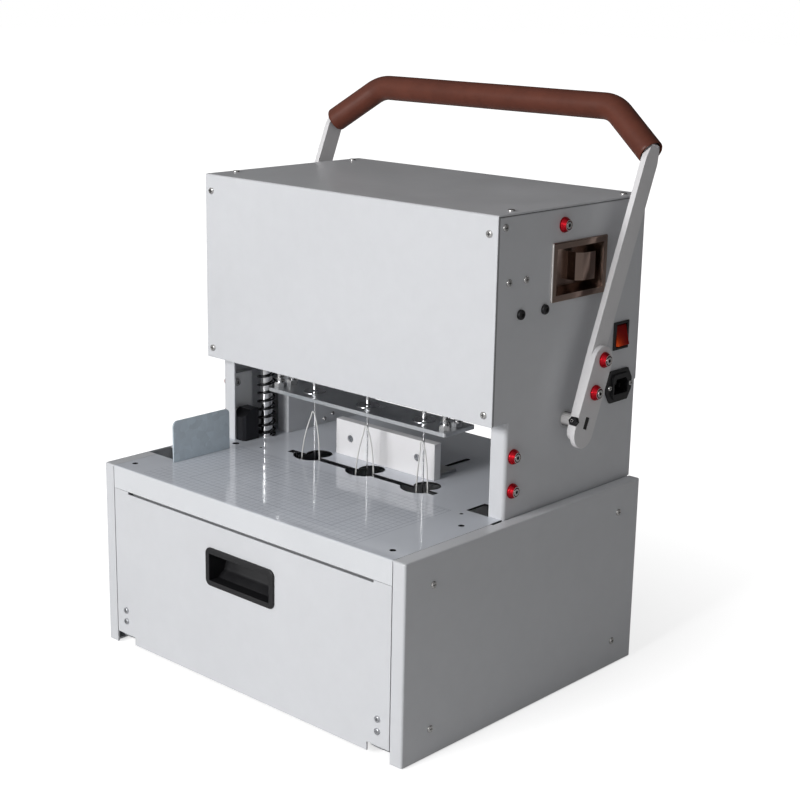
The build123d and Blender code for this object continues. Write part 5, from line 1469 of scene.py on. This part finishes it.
@dataclass
class Studio:
    """Pale floor, soft light and the camera."""

    camera_at: Triple = (1.13693, -1.21090, 0.72518)
    azimuth: float = 42.27323975
    elevation: float = 14.90057638
    roll: float = 1.08541945
    lens: float = 72.62
    sensor: float = 36.0
    floor_size: float = 30.0
    floor_white: float = 0.80
    floor_near: float = 0.70
    floor_fade: tuple[float, float] = (0.25, 0.75)
    sky_diffuse: float = 0.165
    sky_front: float = 0.55
    sky_back: float = 0.08
    sky_y: tuple[float, float] = (-0.6, 0.5)
    lamp_at: Triple = (-0.15, -3.3, 1.50)
    lamp_aim: Triple = (0.0, 0.0, 0.28)
    lamp_size: tuple[float, float] = (1.5, 1.1)
    lamp_watts: float = 89.0

    def camera(self) -> None:
        """Place the camera at the viewing angle.

        Formula: back = (sin a cos e, -cos a cos e, sin e), right = (cos a, sin a, 0), up = back x right, and the
        last two are turned about back by the roll.
        """
        a, e, r = (math.radians(v) for v in (self.azimuth, self.elevation, self.roll))
        back = np.array([math.sin(a) * math.cos(e), -math.cos(a) * math.cos(e), math.sin(e)])
        right = np.array([math.cos(a), math.sin(a), 0.0])
        up = np.cross(back, right)
        data = bpy.data.cameras.new("camera")
        data.lens = self.lens
        data.sensor_width = self.sensor
        camera = placed("camera", data)
        turned = (math.cos(r) * right + math.sin(r) * up, -math.sin(r) * right + math.cos(r) * up)
        stand(camera, (*turned, back), self.camera_at)
        bpy.context.scene.camera = camera

    def lamp(self) -> None:
        """Hang the soft rectangular lamp; its back looks away from what it aims at."""
        data = bpy.data.lights.new("key", "AREA")
        data.shape = "RECTANGLE"
        data.size, data.size_y = self.lamp_size
        data.energy = self.lamp_watts
        back = np.array(self.lamp_at) - np.array(self.lamp_aim)
        back = back / np.linalg.norm(back)
        right = np.cross([0.0, 0.0, 1.0], back)
        right = right / np.linalg.norm(right)
        stand(placed("key", data), (right, np.cross(back, right), back), self.lamp_at)

    def floor(self) -> None:
        """Plain white floor that keeps the machine's shadow.

        Formula: a flat square grid; part of its white is given off towards the camera only, and that part rises
        to full white with the distance from the machine.
        """
        side = np.linspace(-self.floor_size / 2.0, self.floor_size / 2.0, 3)
        x, y = (c.ravel() for c in np.meshgrid(side, side, indexing="ij"))
        a = np.array([0, 1, 3, 4])
        quads = np.stack([a, a + 3, a + 4, a + 1], axis=-1)
        points = np.stack([x, y, np.zeros_like(x)], axis=-1)
        piece = mesh_object("floor", points, [quads], points[:, :2])
        g = Graph("floor_white")
        g.set(Base_Color=(*[self.floor_white] * 3, 1.0), Roughness=0.9, Specular_IOR_Level=0.0)
        away = g.add("VectorMath", {0: g.body}, "Value", operation="LENGTH")
        white = g.ramp(away, *self.floor_fade, self.floor_near, 1.0)
        seen = g.math("MULTIPLY", g.add("LightPath", {}, "Is Camera Ray"), white)
        light = g.add("Emission", {"Strength": seen})
        g.fill(g.output, {"Surface": g.add("AddShader", {0: g.shader.outputs["BSDF"], 1: light})})
        piece.data.materials.append(g.material)

    def world(self) -> None:
        """Sky: white to the camera, a lower grey for lighting; reflections find it lit in front and dark behind.

        Formula: reflected strength runs from sky_front to sky_back as the direction's Y goes through sky_y.
        """
        world = bpy.data.worlds.new("studio")
        bpy.context.scene.world = world
        world.use_nodes = True
        sky = Nodes(world.node_tree)
        direction = sky.parts(sky.add("TexCoord", {}, "Generated"))
        mirrored = sky.ramp(direction[1], *self.sky_y, self.sky_front, self.sky_back)
        lit = sky.ramp(sky.add("LightPath", {}, "Is Glossy Ray"), 0.0, 1.0, self.sky_diffuse, mirrored)
        level = sky.ramp(sky.add("LightPath", {}, "Is Camera Ray"), 0.0, 1.0, lit, 1.0)
        light = sky.add("Background", {"Color": (1.0, 1.0, 1.0, 1.0), "Strength": level})
        sky.fill(sky.tree.nodes.new("ShaderNodeOutputWorld"), {"Surface": light})

    def build(self) -> None:
        """Set up floor, sky, lamp and camera."""
        self.floor()
        self.world()
        self.lamp()
        self.camera()
        bpy.context.scene.view_settings.view_transform = "Standard"


def main() -> None:
    """Build every finish, sub-assembly and the studio, and report each piece."""
    logging.basicConfig(level=logging.INFO, format="%(name)s: %(message)s")
    finishes = {finish.name: finish.build() for finish in FINISHES}
    for kind in (Base, Door, Housing, Lever, DrillHead, NeedleGear, PaperGuides, ThreadSpools,
                 CompressionSprings, BindingThreads, GripSleeve):
        kind(finishes).build()
    Studio().build()


if __name__ == "__main__":
    main()
